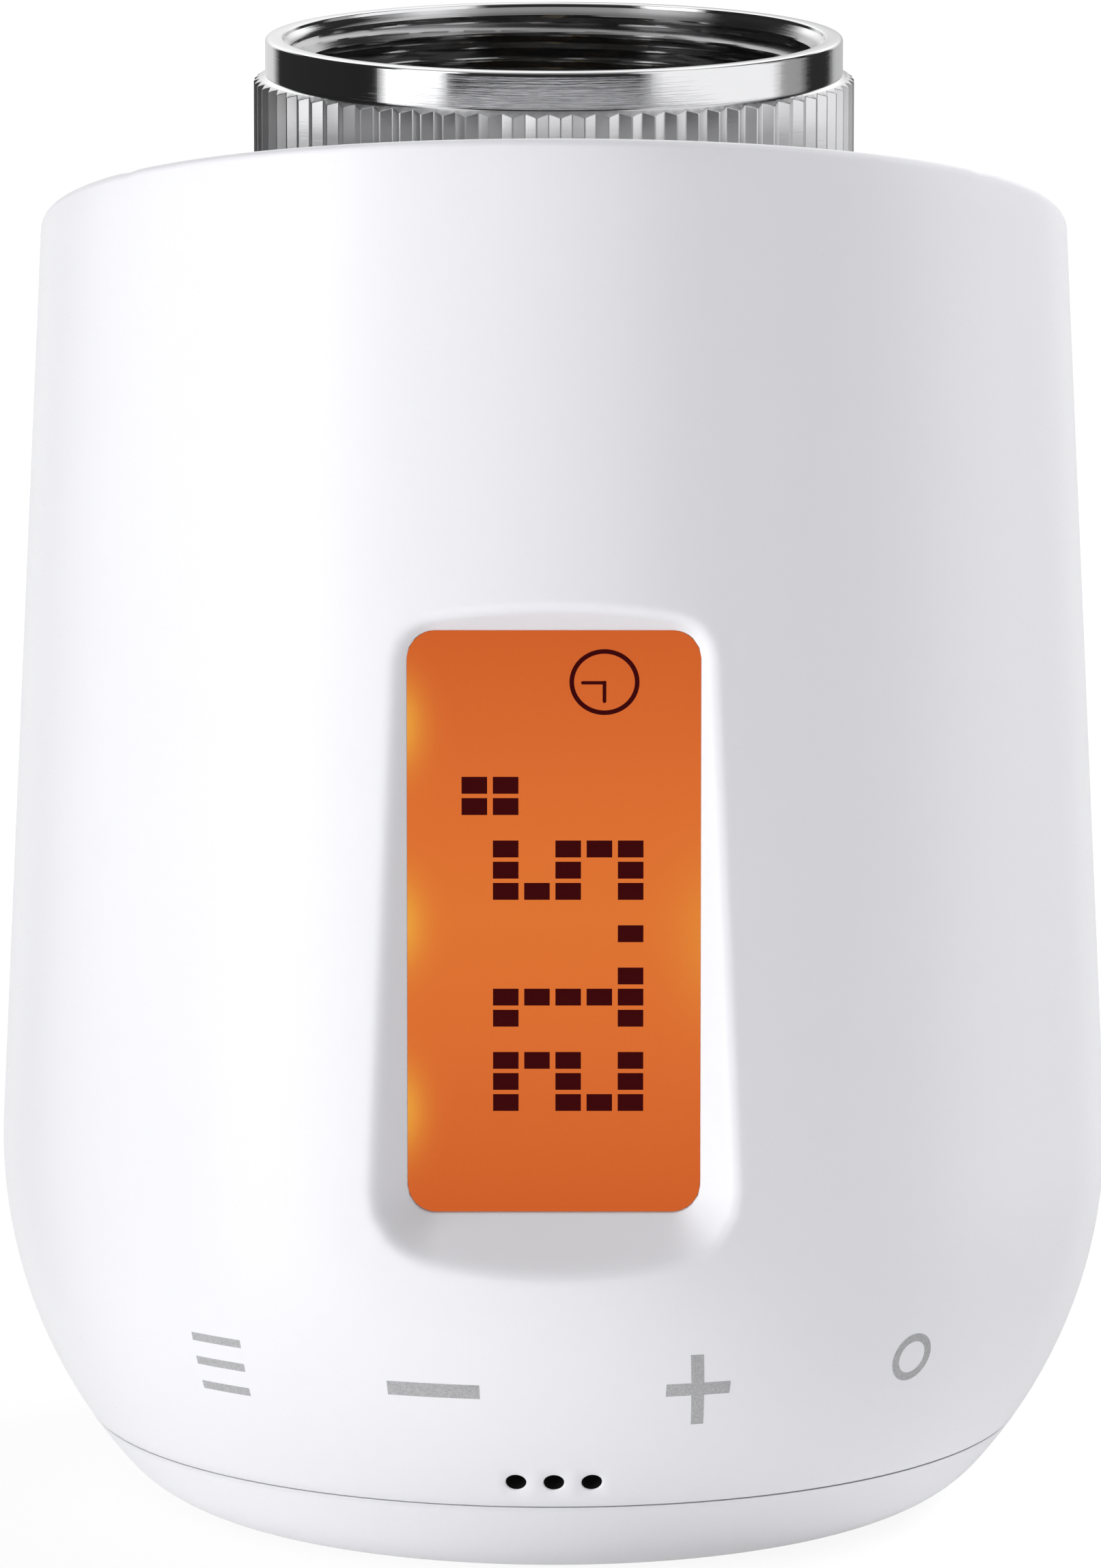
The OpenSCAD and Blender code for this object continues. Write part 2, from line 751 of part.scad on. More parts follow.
module battery_b() {
    translate([cell_at[1][0], cell_at[1][1], cell_z]) cell(false);
}

module cap_contact_plate() {
    // Bridge that joins the lower ends of the two cells, with a tab for each spring
    color("silver")
        translate([0, cell_back, cap_floor + 0.02])
            linear_extrude(contact_t) {
                square([cell_pitch, plate_bar], center = true);
                for (s = [-1, 1])
                    translate([s * cell_pitch / 2, 0]) circle(plate_r, $fn = 48);
            }
}

module cap_springs() {
    // Conical springs: each turn is a ring that rests in the turn below
    base = cap_floor + contact_t + 0.02;
    rise = (cell_z - 0.1 - base - 2 * spring_wire) / 3;
    color("silver")
        for (p = cell_at)
            translate([p[0], p[1], base + spring_wire])
                for (i = [0 : 3])
                    translate([0, 0, i * rise])
                        rotate_extrude($fn = 48)
                            translate([spring_r - spring_step * i, 0])
                                circle(spring_wire, $fn = 16);
}

module deck_contacts() {
    // Sprung contact under the deck for each cell
    low = cell_z + cell_len + button_gap;
    color("silver")
        for (p = cell_at)
            translate([p[0], p[1], 0]) {
                translate([0, 0, deck_low - contact_t - 0.02]) cylinder(r = 4.4, h = contact_t);
                translate([0, 0, low])
                    cylinder(r1 = 1.4, r2 = 3.4, h = deck_low - contact_t - 0.01 - low, $fn = 48);
            }
}

// --- Drive -----------------------------------------------------------------------------------

function involute(base, t) =
    [base * (cos(t) + t * PI / 180 * sin(t)), base * (sin(t) - t * PI / 180 * cos(t))];

module gear_outline(teeth, turn) {
    // Stub involute teeth at a pressure angle of 25 degrees, thinned for backlash
    pressure = 25;
    thin = 0.045;
    pitch = gear_m * teeth / 2;
    base = pitch * cos(pressure);
    tip = pitch + 0.8 * gear_m;
    root = pitch - 1.05 * gear_m;
    roll_tip = sqrt(pow(tip / base, 2) - 1) * 180 / PI;
    roll_low = root > base ? sqrt(pow(root / base, 2) - 1) * 180 / PI : 0;
    lean = tan(pressure) * 180 / PI - pressure;
    half = 90 / teeth + lean - thin / pitch * 180 / PI;
    steps = 4;
    flank = [for (i = [0 : steps]) involute(base, roll_low + (roll_tip - roll_low) * i / steps)];
    polys = [for (p = flank) [norm(p), atan2(p[1], p[0])]];
    rotate(turn)
        polygon([
            for (k = [0 : teeth - 1])
                let (a = k * 360 / teeth)
                each concat(
                    [polar(root, a - half + polys[0][1])],
                    [for (i = [0 : steps]) polar(polys[i][0], a - half + polys[i][1])],
                    [for (i = [steps : -1 : 0]) polar(polys[i][0], a + half - polys[i][1])],
                    [polar(root, a + half - polys[0][1])]
                )
        ]);
}

module gear(teeth, turn, n, bore_d) {
    // One gear in layer n
    translate([0, 0, layer_z(n)])
        linear_extrude(gear_t)
            difference() {
                gear_outline(teeth, turn);
                circle(d = bore_d);
            }
}

module compound(at, turn, wheel_n, pinion_n) {
    // Wheel and pinion on one hub, running on a fixed axle
    bore = axle_d + 2 * run;
    low = layer_z(min(wheel_n, pinion_n)) + gear_t - eps;
    high = layer_z(max(wheel_n, pinion_n)) + eps;
    hub = gear_m * (pinion_teeth / 2 - 1.1);
    translate([at[0], at[1], 0]) {
        gear(wheel_teeth, turn, wheel_n, bore);
        gear(pinion_teeth, turn, pinion_n, bore);
        translate([0, 0, low]) tube(hub, bore / 2, high - low);
    }
}

module motor() {
    translate([motor_at[0], motor_at[1], 0])
        color("silver") {
            difference() {
                union() {
                    translate([0, 0, deck_low - 0.1 - motor_len]) cylinder(d = motor_d, h = motor_len);
                    translate([0, 0, deck_low - 0.2]) cylinder(r = motor_boss[0], h = motor_boss[1]);
                }
                translate([0, 0, deck_low - shaft_in - 0.5])
                    cylinder(d = axle_d + 2 * run, h = shaft_in + motor_boss[1] + 1);
            }
            for (s = [-1, 1])
                translate([s * motor_tab_x, 0, deck_low - motor_len - motor_tab[2] / 2])
                    cube(motor_tab, center = true);
        }
}

module motor_pinion() {
    color("goldenrod")
        translate([motor_at[0], motor_at[1], 0]) {
            gear(pinion_teeth, motor_turn, 0, 0);
            translate([0, 0, deck_low - shaft_in])
                cylinder(d = axle_d, h = layer_z(0) - deck_low + shaft_in + 0.1);
        }
}

module gear_1() {
    color("ivory") compound(gear1_at, gear1_turn, 0, 2);
}

module gear_2() {
    color("ivory") compound(gear2_at, gear2_turn, 2, 1);
}

module gear_3() {
    color("ivory") compound(gear3_at, gear3_turn, 1, 0);
}

module gear_axles() {
    color("silver")
        for (p = [gear1_at, gear2_at, gear3_at])
            translate([p[0], p[1], deck_z - axle_sink + 0.05])
                cylinder(d = axle_d, h = cover_top - 0.4 - deck_z + axle_sink);
}

module spindle() {
    // Output wheel, hub and lead screw in one piece
    low = layer_z(0);
    color("goldenrod") {
        gear(spindle_teeth, 0, 0, 0);
        translate([0, 0, deck_z - pivot_len + 0.1]) cylinder(r = pivot_r, h = low - deck_z + pivot_len);
        translate([0, 0, low + eps]) cylinder(r = hub_r, h = cover_low - 0.1 - low);
        translate([0, 0, low + gear_t]) cylinder(r = screw_r, h = screw_top - low - gear_t);
    }
}

module thrust_washer() {
    color("silver")
        translate([0, 0, deck_z + 0.02])
            tube(washer_r, pivot_r + 2 * run, layer_z(0) - deck_z - 0.1);
}

module gearbox_cover() {
    color("slategray")
    difference() {
        translate([0, 0, cover_low])
            linear_extrude(cover_plate_t)
                union() {
                    circle(neck_r);
                    intersection() {
                        circle(cover_r);
                        translate([-wide, -2 * wide + cover_back]) square([2 * wide, 2 * wide]);
                    }
                }
        translate([0, 0, cover_low - 1]) cylinder(r = guide_r + guide_wall + 0.02, h = 10);
        for (p = [gear1_at, gear2_at, gear3_at])
            translate([p[0], p[1], cover_low - 1]) cylinder(d = axle_d + 0.02, h = cover_plate_t + 0.7);
        for (p = post_at)
            translate([p[0], p[1], cover_low - 1]) cylinder(r = thread_r + 0.2, h = 10, $fn = 24);
        for (i = [0 : 2])
            rotate([0, 0, 30 + i * 120])
                translate([collar_screw_ring, 0, cover_low - 1])
                    cylinder(r = thread_r + 0.02, h = 10, $fn = 24);
    }
}

module gearbox_screws() {
    color("silver")
        for (p = [post_at[0], post_at[1]])
            translate([p[0], p[1], cover_top + 0.02]) screw(cover_screw_len);
}

module keys(w, r) {
    // Two keys across the axis
    translate([-r, -w / 2, 0]) cube([2 * r, w, key_len]);
}

module plunger_guide() {
    // Keyed bush that lets the plunger slide but not turn
    height = guide_top - cover_low;
    color("whitesmoke")
    translate([0, 0, cover_low])
        difference() {
            cylinder(r = guide_r + guide_wall, h = height);
            translate([0, 0, -1]) cylinder(r = guide_r, h = height + 2);
            translate([0, 0, -1])
                linear_extrude(height + 2)
                    square([2 * (plunger_r + key_h + 0.1), key_w + 0.2], center = true);
        }
}

module plunger() {
    // Hollow tappet that runs on the lead screw and pushes the valve pin
    color("goldenrod")
    difference() {
        union() {
            translate([0, 0, plunger_low]) cylinder(r = plunger_r, h = plunger_z - plunger_low - 0.4);
            translate([0, 0, plunger_z - 0.4 - eps])
                cylinder(r1 = plunger_r, r2 = plunger_r - 0.4, h = 0.4 + eps);
            translate([0, 0, plunger_low]) keys(key_w, plunger_r + key_h);
        }
        translate([0, 0, plunger_low - 1])
            cylinder(r = screw_r + run, h = screw_top + 0.2 - plunger_low + 1);
    }
}

// --- Valve coupling ----------------------------------------------------------------------------

module mount_collar() {
    color("gainsboro")
    difference() {
        union() {
            translate([0, 0, collar_z]) cylinder(r = neck_r, h = collar_flange_t);
            translate([0, 0, collar_z]) cylinder(r = collar_r, h = collar_top - collar_z);
        }
        translate([0, 0, collar_face]) cylinder(d = collar_bore, h = 20);
        translate([0, 0, collar_z - 1]) cylinder(r = guide_r + guide_wall + 0.05, h = 10);
        translate([0, 0, ring_z - 0.02])
            tube(collar_r + 1, collar_r - groove_depth, snap_t + 0.04);
        for (i = [0 : 2])
            rotate([0, 0, 30 + i * 120])
                translate([collar_screw_ring, 0, 0]) {
                    translate([0, 0, collar_z - 1])
                        cylinder(r = thread_r + 0.2, h = 10, $fn = 24);
                    translate([0, 0, collar_face - 0.9])
                        cylinder(r1 = thread_r + 0.2, r2 = head_r + 0.1, h = 0.92);
                }
    }
}

module collar_screws() {
    color("silver")
        for (i = [0 : 2])
            rotate([0, 0, 30 + i * 120])
                translate([collar_screw_ring, 0, 0]) {
                    translate([0, 0, cover_low + 0.2])
                        cylinder(r = thread_r, h = collar_face - 0.8 - cover_low - 0.2, $fn = 24);
                    translate([0, 0, collar_face - 0.85])
                        cylinder(r1 = thread_r, r2 = head_r - 0.1, h = 0.8);
                }
}

module slip_washer() {
    color("whitesmoke")
        translate([0, 0, collar_face + 0.02])
            tube(neck_r - 0.1, collar_r + 0.05, washer_t - 0.02);
}

module retaining_ring() {
    // Snap ring in the groove of the collar, open at the back
    color("silver")
    difference() {
        translate([0, 0, ring_z]) tube(snap_r, collar_r - groove_depth + 0.05, snap_t);
        translate([-1.5, 0, ring_z - 1]) cube([3, 20, 3]);
    }
}

module knurl_outline() {
    // Flat crests with narrow grooves between them
    pitch = 360 / knurl_teeth;
    r = knurl_d / 2;
    polygon([
        for (i = [0 : knurl_teeth - 1])
            each [
                polar(r, (i - 0.33) * pitch), polar(r, (i + 0.39) * pitch),
                polar(r - knurl_depth, (i + 0.49) * pitch), polar(r - knurl_depth, (i + 0.57) * pitch)
            ]
    ]);
}

module nut_envelope() {
    // Section that bevels both ends of the knurl and runs up into the smooth ring
    slope = bevel_h / bevel;
    out = knurl_d / 2 + 0.5;
    in = ring_d / 2 - 0.4;
    rotate_extrude()
        polygon([
            [0, nut_bottom], [knurl_d / 2 - low_bevel, nut_bottom],
            [out, nut_bottom + low_bevel + 0.5],
            [out, knurl_top - (out - ring_d / 2) * slope],
            [in, knurl_top + (ring_d / 2 - in) * slope], [0, knurl_top + 0.4 * slope]
        ]);
}

module union_nut() {
    color("silver")
    difference() {
        union() {
            intersection() {
                translate([0, 0, nut_bottom - 1])
                    linear_extrude(nut_top - nut_bottom) knurl_outline();
                nut_envelope();
            }
            translate([0, 0, knurl_top - 1])
                rotate_extrude()
                    polygon([
                        [0, 0], [ring_d / 2, 0], [ring_d / 2, ring_h + 1 - chamfer],
                        [ring_d / 2 - chamfer, ring_h + 1], [0, ring_h + 1]
                    ]);
        }
        // Thread bore, mouth chamfer, relief for the snap ring and neck
        translate([0, 0, relief_top - eps]) cylinder(d = thread_minor_d, h = 30);
        translate([0, 0, nut_top - (mouth_d - thread_minor_d) / 2])
            cylinder(d1 = thread_minor_d, d2 = mouth_d + 0.02, h = (mouth_d - thread_minor_d) / 2 + 0.01);
        translate([0, 0, nut_bottom + nut_flange_t])
            cylinder(r = relief_r, h = relief_top - nut_bottom - nut_flange_t);
        translate([0, 0, nut_bottom - 1]) cylinder(d = nut_neck_d, h = 10);
    }
}

housing();
top_cover();
end_cap();
window_lens();
lcd_panel();
light_guide();
backlight_leds();
display_frame();
zebra_strips();
circuit_board();
controller_chip();
board_parts();
touch_pads();
temperature_sensor();
chassis();
deck_screws();
battery_a();
battery_b();
cap_contact_plate();
cap_springs();
deck_contacts();
motor();
motor_pinion();
gear_1();
gear_2();
gear_3();
gear_axles();
spindle();
thrust_washer();
gearbox_cover();
gearbox_screws();
plunger_guide();
plunger();
mount_collar();
collar_screws();
slip_washer();
retaining_ring();
union_nut();
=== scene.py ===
import math

import bmesh
import bpy
import numpy as np
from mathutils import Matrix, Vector


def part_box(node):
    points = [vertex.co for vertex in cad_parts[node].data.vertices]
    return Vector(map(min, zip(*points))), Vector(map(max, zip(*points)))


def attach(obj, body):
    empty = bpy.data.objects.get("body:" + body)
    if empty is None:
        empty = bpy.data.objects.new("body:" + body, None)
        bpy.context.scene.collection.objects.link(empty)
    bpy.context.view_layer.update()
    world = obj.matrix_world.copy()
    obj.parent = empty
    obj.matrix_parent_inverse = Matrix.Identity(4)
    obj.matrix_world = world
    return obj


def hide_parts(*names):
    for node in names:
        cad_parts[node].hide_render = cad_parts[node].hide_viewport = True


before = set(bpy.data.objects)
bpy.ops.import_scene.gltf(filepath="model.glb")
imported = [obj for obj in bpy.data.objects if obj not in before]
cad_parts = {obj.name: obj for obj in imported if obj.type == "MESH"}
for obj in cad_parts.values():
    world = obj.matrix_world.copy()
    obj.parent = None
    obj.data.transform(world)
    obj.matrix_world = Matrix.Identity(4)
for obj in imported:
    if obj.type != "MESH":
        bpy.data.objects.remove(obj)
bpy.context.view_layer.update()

# Battery driven thermostat head for a radiator valve: a white barrel with a lit display and a
# chromed union nut. Shapes are built in millimetres and written in metres. The studio and the
# materials are in metres.

MM = 0.001


def box_mm(node):
    """Lowest and highest corner of a CAD node, in millimetres."""
    low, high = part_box(node)
    return np.array(low) / MM, np.array(high) / MM


# ---------------------------------------------------------------- shader nodes

def rgba(tone):
    """Opaque colour, from one grey level or from three parts."""
    return (*np.broadcast_to(tone, 3), 1)


class Bench:
    """Lays out shader nodes in a tree: a call makes a node, sets its values, links its inputs.

    An input goes by its label, with _ for a space, or by its number: i0, i1 and so on.
    """

    def __init__(self, tree, fresh=True):
        self.tree = tree
        if fresh:
            tree.nodes.clear()

    def add(self, kind, props=None, **inputs):
        node = self.tree.nodes.new(kind)
        for key, value in (props or {}).items():
            setattr(node, key, value)
        for key, value in inputs.items():
            self.join(node, key, value)
        return node

    def join(self, node, key, value):
        numbered = key[0] == "i" and key[1:].isdigit()
        socket = node.inputs[int(key[1:]) if numbered else key.replace("_", " ")]
        if isinstance(value, bpy.types.NodeSocket):
            self.tree.links.new(value, socket)
        elif isinstance(value, bpy.types.Node):
            self.tree.links.new(value.outputs[0], socket)
        else:
            socket.default_value = value

    def math(self, operation, a, b=0.0, c=0.0):
        return self.add("ShaderNodeMath", {"operation": operation}, i0=a, i1=b, i2=c).outputs[0]

    def vector(self, operation, a, **inputs):
        return self.add("ShaderNodeVectorMath", {"operation": operation}, i0=a, **inputs)

    def split(self, vector):
        return self.add("ShaderNodeSeparateXYZ", i0=vector).outputs

    def place(self):
        """Object coordinates, in metres."""
        return self.add("ShaderNodeTexCoord").outputs["Object"]

    def length(self, vector):
        return self.vector("LENGTH", vector).outputs["Value"]

    def off_axis(self, vector):
        """Distance from the upright axis."""
        return self.length(self.vector("MULTIPLY", vector, i1=(1.0, 1.0, 0.0)))

    def swing(self, noise, reach):
        """Noise about its own middle, times reach."""
        return self.math("MULTIPLY", self.math("SUBTRACT", noise.outputs[0], 0.5), reach)

    def ease(self, value, low, high, start, end):
        """Smooth change from start to end while value goes from low to high."""
        return self.add("ShaderNodeMapRange", {"interpolation_type": "SMOOTHSTEP"},
                        i0=value, i1=low, i2=high, i3=start, i4=end).outputs[0]

    def ramp(self, factor, stops):
        """Tone along a row of stops, each a place from 0 to 1 and a grey level or a colour."""
        node = self.add("ShaderNodeValToRGB", i0=factor)
        elements = node.color_ramp.elements
        while len(elements) < len(stops):
            elements.new(0.5)
        for element, (at, tone) in zip(elements, stops):
            element.position = at
            element.color = rgba(tone)
        return node.outputs[0]

    def mix(self, factor, a, b):
        node = self.add("ShaderNodeMix", {"data_type": "RGBA", "blend_type": "MIX"},
                        i0=factor, i6=a, i7=b)
        return node.outputs[2]

    def mirrored(self, rays):
        """1 for what a glossy or a clear surface shows."""
        return self.math("MAXIMUM", rays.outputs["Is Glossy Ray"],
                         rays.outputs["Is Transmission Ray"])

    def coat(self, skin=None, **inputs):
        """Principled shader and output of a material, with three inputs from a group node."""
        if skin is not None:
            taken = {"Base_Color": "Color", "Roughness": "Roughness", "Normal": "Normal"}
            inputs = {key: skin.outputs[label] for key, label in taken.items()} | inputs
        shader = self.add("ShaderNodeBsdfPrincipled", **inputs)
        self.add("ShaderNodeOutputMaterial", Surface=shader)


def new_material(name):
    """Material without nodes, and its bench."""
    m = bpy.data.materials.new(name)
    m.use_nodes = True
    return m, Bench(m.node_tree)


# ---------------------------------------------------------------- camera, table and light

STUDIO = bpy.context.scene
STUDIO.view_settings.view_transform = "Standard"

# Sensor in millimetres; focal length and height of the frame in one and the same unit
SENSOR, FOCAL, FRAME_HEIGHT = 36.0, 18213, 2296
# The camera stands at this tilt and distance from a hub on the barrel's axis
CAMERA_TILT, CAMERA_REACH, CAMERA_HUB_Z = math.radians(10.41), 0.720, 0.043
CAMERA_AIM = (-0.0002, -0.0003, 0.0414)
# Distance of each lamp from the point on the axis that it is aimed at, and that point's height
LAMP_REACH, LAMP_AIM_Z = 0.80, 0.02
# Light that matt surfaces get from all sides, and the tone that glossy ones see below them
ROOM_LIGHT, FLOOR_TONE = (0.28, 0.28, 0.29, 1), 0.9


def set_camera():
    """Long lens, tilted down at the barrel from in front and aimed just below its middle."""
    lens = bpy.data.cameras.new("portrait_lens")
    lens.sensor_fit = "AUTO"
    lens.sensor_width = SENSOR
    lens.lens = SENSOR * FOCAL / FRAME_HEIGHT
    lens.clip_start, lens.clip_end = 0.05, 20
    camera = bpy.data.objects.new("portrait_camera", lens)
    STUDIO.collection.objects.link(camera)
    ahead, above = CAMERA_REACH * math.cos(CAMERA_TILT), CAMERA_REACH * math.sin(CAMERA_TILT)
    camera.location = Vector((0, -ahead, CAMERA_HUB_Z + above))
    aim = Vector(CAMERA_AIM) - camera.location
    camera.rotation_euler = aim.to_track_quat("-Z", "Y").to_euler()
    STUDIO.camera = camera


def light_studio():
    """Even room light, plus the grey walls and white boxes that only glossy surfaces see."""
    room = bpy.data.worlds.new("studio_room")
    STUDIO.world = room
    room.use_nodes = True
    b = Bench(room.node_tree)
    x, y, z = b.split(b.add("ShaderNodeTexCoord").outputs["Generated"])
    # Turn about the barrel as a share of a full circle: 0 at the back on the left, 0.5 in front,
    # 1 at the back on the right
    turn = b.math("ARCTAN2", x, b.math("MULTIPLY", y, -1.0))
    share = b.math("MULTIPLY_ADD", turn, 1 / (2 * math.pi), 0.5)

    def wall(left_back, right_back):
        """Tone at each turn in degrees: dark, with a white box on either side of the front."""
        levels = [
            (-180, left_back), (-152, left_back), (-143, 0.03), (-75, 0.02),
            (-70, 1.7), (-46, 1.7), (-42, 0.03), (36, 0.03),
            (42, 1.15), (99, 1.15), (103, 0.42), (117, 0.38),
            (121, 0.03), (143, 0.03), (150, right_back), (180, right_back),
        ]
        return b.ramp(share, [(0.5 + degrees / 360, level) for degrees, level in levels])

    # The wall behind the barrel is darker low down, so that the barrel's edges keep their line
    climb = b.ramp(z, [(0.0, 0), (0.05, 0), (0.30, 1)])
    walls = b.mix(climb, wall(0.79, 0.58), wall(1.35, 1.35))
    across = b.math("ABSOLUTE", x)
    ceiling = b.ramp(across, [(0.0, 0.31), (0.28, 0.36), (0.62, 1.2), (1.0, 1.4)])
    rise = b.ramp(z, [(0.0, 0), (0.78, 0), (0.92, 1)])
    fall = b.ramp(b.math("MULTIPLY", z, -1.0), [(0.30, 0), (0.55, 1)])
    seen = b.mix(fall, b.mix(rise, walls, ceiling), rgba(FLOOR_TONE))
    rays = b.add("ShaderNodeLightPath")
    colour = b.mix(b.mirrored(rays), ROOM_LIGHT, seen)
    colour = b.mix(rays.outputs["Is Camera Ray"], colour, rgba(1.0))
    back = b.add("ShaderNodeBackground", Color=colour, Strength=1.0)
    b.add("ShaderNodeOutputWorld", Surface=back)

    def soft_box(name, turn, rise, wide, tall, power):
        """Area lamp that no glossy surface shows, at a turn and a rise in degrees."""
        lamp = bpy.data.lights.new(name, "AREA")
        lamp.shape = "RECTANGLE"
        lamp.size, lamp.size_y = wide, tall
        lamp.energy = power
        place = bpy.data.objects.new(name, lamp)
        STUDIO.collection.objects.link(place)
        a, e = math.radians(turn), math.radians(rise)
        place.location = (
            LAMP_REACH * math.sin(a) * math.cos(e),
            -LAMP_REACH * math.cos(a) * math.cos(e),
            LAMP_AIM_Z + LAMP_REACH * math.sin(e),
        )
        aim = Vector((0, 0, LAMP_AIM_Z)) - place.location
        place.rotation_euler = aim.to_track_quat("-Z", "Y").to_euler()
        place.visible_glossy = place.visible_transmission = False

    soft_box("left_softbox", turn=-60, rise=5.5, wide=0.50, tall=0.14, power=4.2)
    soft_box("right_softbox", turn=120, rise=40, wide=0.40, tall=0.40, power=5.3)
    soft_box("front_fill", turn=0, rise=5.5, wide=0.50, tall=0.14, power=0.85)


def lay_table():
    """Pale table under the foot: white to the camera, with the soft shadow of the barrel on it."""
    half = 6.0
    mesh = bpy.data.meshes.new("pale_table")
    corners = [(-half, -half, 0), (half, -half, 0), (half, half, 0), (-half, half, 0)]
    mesh.from_pydata(corners, [], [(0, 1, 2, 3)])
    table = bpy.data.objects.new("pale_table", mesh)
    STUDIO.collection.objects.link(table)
    m, b = new_material("table_white")
    rays = b.add("ShaderNodeLightPath")
    cloth = b.add("ShaderNodeBsdfDiffuse", Color=(0.93, 0.93, 0.94, 1))
    glow = b.add("ShaderNodeEmission", Color=rgba(1.0), Strength=1.05)
    seen = b.math("MAXIMUM", rays.outputs["Is Camera Ray"], b.mirrored(rays))
    # Share of its tone that is the table's own: all of it far away, where no lamp reaches
    own = b.ease(b.length(b.place()), low=0.20, high=0.65, start=0.86, end=1.0)
    blend = b.add("ShaderNodeMixShader", i0=b.math("MULTIPLY", seen, own), i1=cloth, i2=glow)
    b.add("ShaderNodeOutputMaterial", Surface=blend)
    mesh.materials.append(m)
    table.visible_glossy = table.visible_transmission = False


set_camera()
light_studio()
lay_table()

# ---------------------------------------------------------------- mesh building

def weld(points, faces):
    """Joins points that agree to four decimals of a millimetre and drops faces that collapse."""
    _, first, back = np.unique(np.round(points, 4), axis=0, return_index=True, return_inverse=True)
    faces = back.ravel()[faces]
    keep = faces != np.roll(faces, -1, axis=1)
    corners = keep.sum(axis=1)
    four = faces[corners == 4]
    four = four[(four[:, 0] != four[:, 2]) & (four[:, 1] != four[:, 3])]
    three = faces[corners == 3][keep[corners == 3]].reshape(-1, 3)
    return points[first], four, three


def make_piece(name, solid, body, finish, sharp, replaces=()):
    """Writes a solid as a mesh in metres, turns its faces outwards and hangs it on a body.

    sharp is the angle, in degrees, above which an edge stays hard.
    """
    points, four, three = weld(*solid.out())
    mesh = bpy.data.meshes.new(name)
    mesh.from_pydata((points * MM).tolist(), [], four.tolist() + three.tolist())
    shell = bmesh.new()
    shell.from_mesh(mesh)
    loose = [v for v in shell.verts if not v.link_faces]
    bmesh.ops.delete(shell, geom=loose, context="VERTS")
    bmesh.ops.recalc_face_normals(shell, faces=shell.faces)
    shell.to_mesh(mesh)
    shell.free()
    mesh.shade_smooth()
    mesh.set_sharp_from_angle(angle=math.radians(sharp))
    mesh.materials.append(finish)
    piece = bpy.data.objects.new(name, mesh)
    STUDIO.collection.objects.link(piece)
    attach(piece, body)
    if replaces:
        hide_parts(*replaces)


def lattice(rows, columns, wrap_rows=False, wrap_columns=True, start=0):
    """Quads between neighbouring rows and columns of a grid of points stored row by row."""
    i = np.arange(rows if wrap_rows else rows - 1)[:, None]
    j = np.arange(columns if wrap_columns else columns - 1)[None, :]
    i2, j2 = (i + 1) % rows, (j + 1) % columns
    corners = (i * columns + j, i * columns + j2, i2 * columns + j2, i2 * columns + j)
    return np.stack(np.broadcast_arrays(*corners), -1).reshape(-1, 4) + start


class Solid:
    """Collects grids of points and faces that will be welded into one mesh."""

    def __init__(self):
        self.points, self.faces, self.count = [], [], 0

    def grid(self, grid, wrap_rows=False, keep=None):
        """Adds a grid whose columns go all the way round. keep says which faces stay."""
        rows, columns = grid.shape[:2]
        faces = lattice(rows, columns, wrap_rows, start=self.count)
        if keep is not None:
            faces = faces[keep.ravel()]
        self.points.append(grid.reshape(-1, 3))
        self.faces.append(faces)
        self.count += rows * columns

    def plate(self, top, under):
        """Adds a thin closed plate between two grids of points of one shape."""
        rows, columns = top.shape[:2]
        under_start = rows * columns
        index = np.arange(rows * columns).reshape(rows, columns) + self.count
        face = lattice(rows, columns, wrap_columns=False, start=self.count)
        rim = np.concatenate([index[0, :-1], index[:-1, -1], index[-1, :0:-1], index[:0:-1, 0]])
        after = np.roll(rim, -1)
        sides = np.stack([rim, rim + under_start, after + under_start, after], -1)
        self.points += [top.reshape(-1, 3), under.reshape(-1, 3)]
        self.faces += [face, face[:, ::-1] + under_start, sides]
        self.count += 2 * rows * columns

    def ring(self, top, under):
        """Adds a thin closed ring between two grids whose columns go all the way round."""
        self.grid(np.concatenate([top, under[::-1]]), wrap_rows=True)

    def out(self):
        return np.concatenate(self.points), np.concatenate(self.faces)


def spin(r, z, turn):
    """Points on circles round the axis: radius r, height z, turn in radians.

    A turn goes from the front to the right: x = r sin turn, y = -r cos turn.
    """
    r, z, turn = np.broadcast_arrays(r, z, turn)
    return np.stack([r * np.sin(turn), -r * np.cos(turn), z], -1)


QUARTER = math.pi / 2    # a quarter turn


# ---------------------------------------------------------------- barrel

# Side of the barrel: a large arc round the belly (radius, height of its centre, distance of its
# centre from the axis), a small arc at the foot that it runs into, and a taper above the belly
BELLY_R, BELLY_Z, BELLY_C = 28.0, 20.8, 4.0
FOOT_R, TAPER = 7.2, math.radians(2.8)
FOOT_TURN = math.asin((BELLY_Z - FOOT_R) / (BELLY_R - FOOT_R))
FOOT_C = (BELLY_C + (BELLY_R - FOOT_R) * math.cos(FOOT_TURN), FOOT_R)
# Raked top: a wide arc in the side view, with its height and slope over the axis
RIM_Z, RAKE, RAKE_R = 74.1, math.radians(19), 420.0
RAKE_C = (-RAKE_R * math.sin(RAKE), RIM_Z - RAKE_R * math.cos(RAKE))
WALL = 2.0
# Seam between the shell and its cap: height, gap, and rounding of the edge on either side
SEAM_Z, SEAM_GAP, SEAM_EDGE = 4.95, 0.06, 0.06
# Sensor bores: radius, height, turn from one to the next in degrees, and depth below the belly's
# arc where their painted shade starts
BORE_R, BORE_Z, BORE_PITCH, BORE_PAINTED_SHADE_DEPTH = 0.575, 6.6, 4.35, 0.10
BORE_COLUMNS = 8


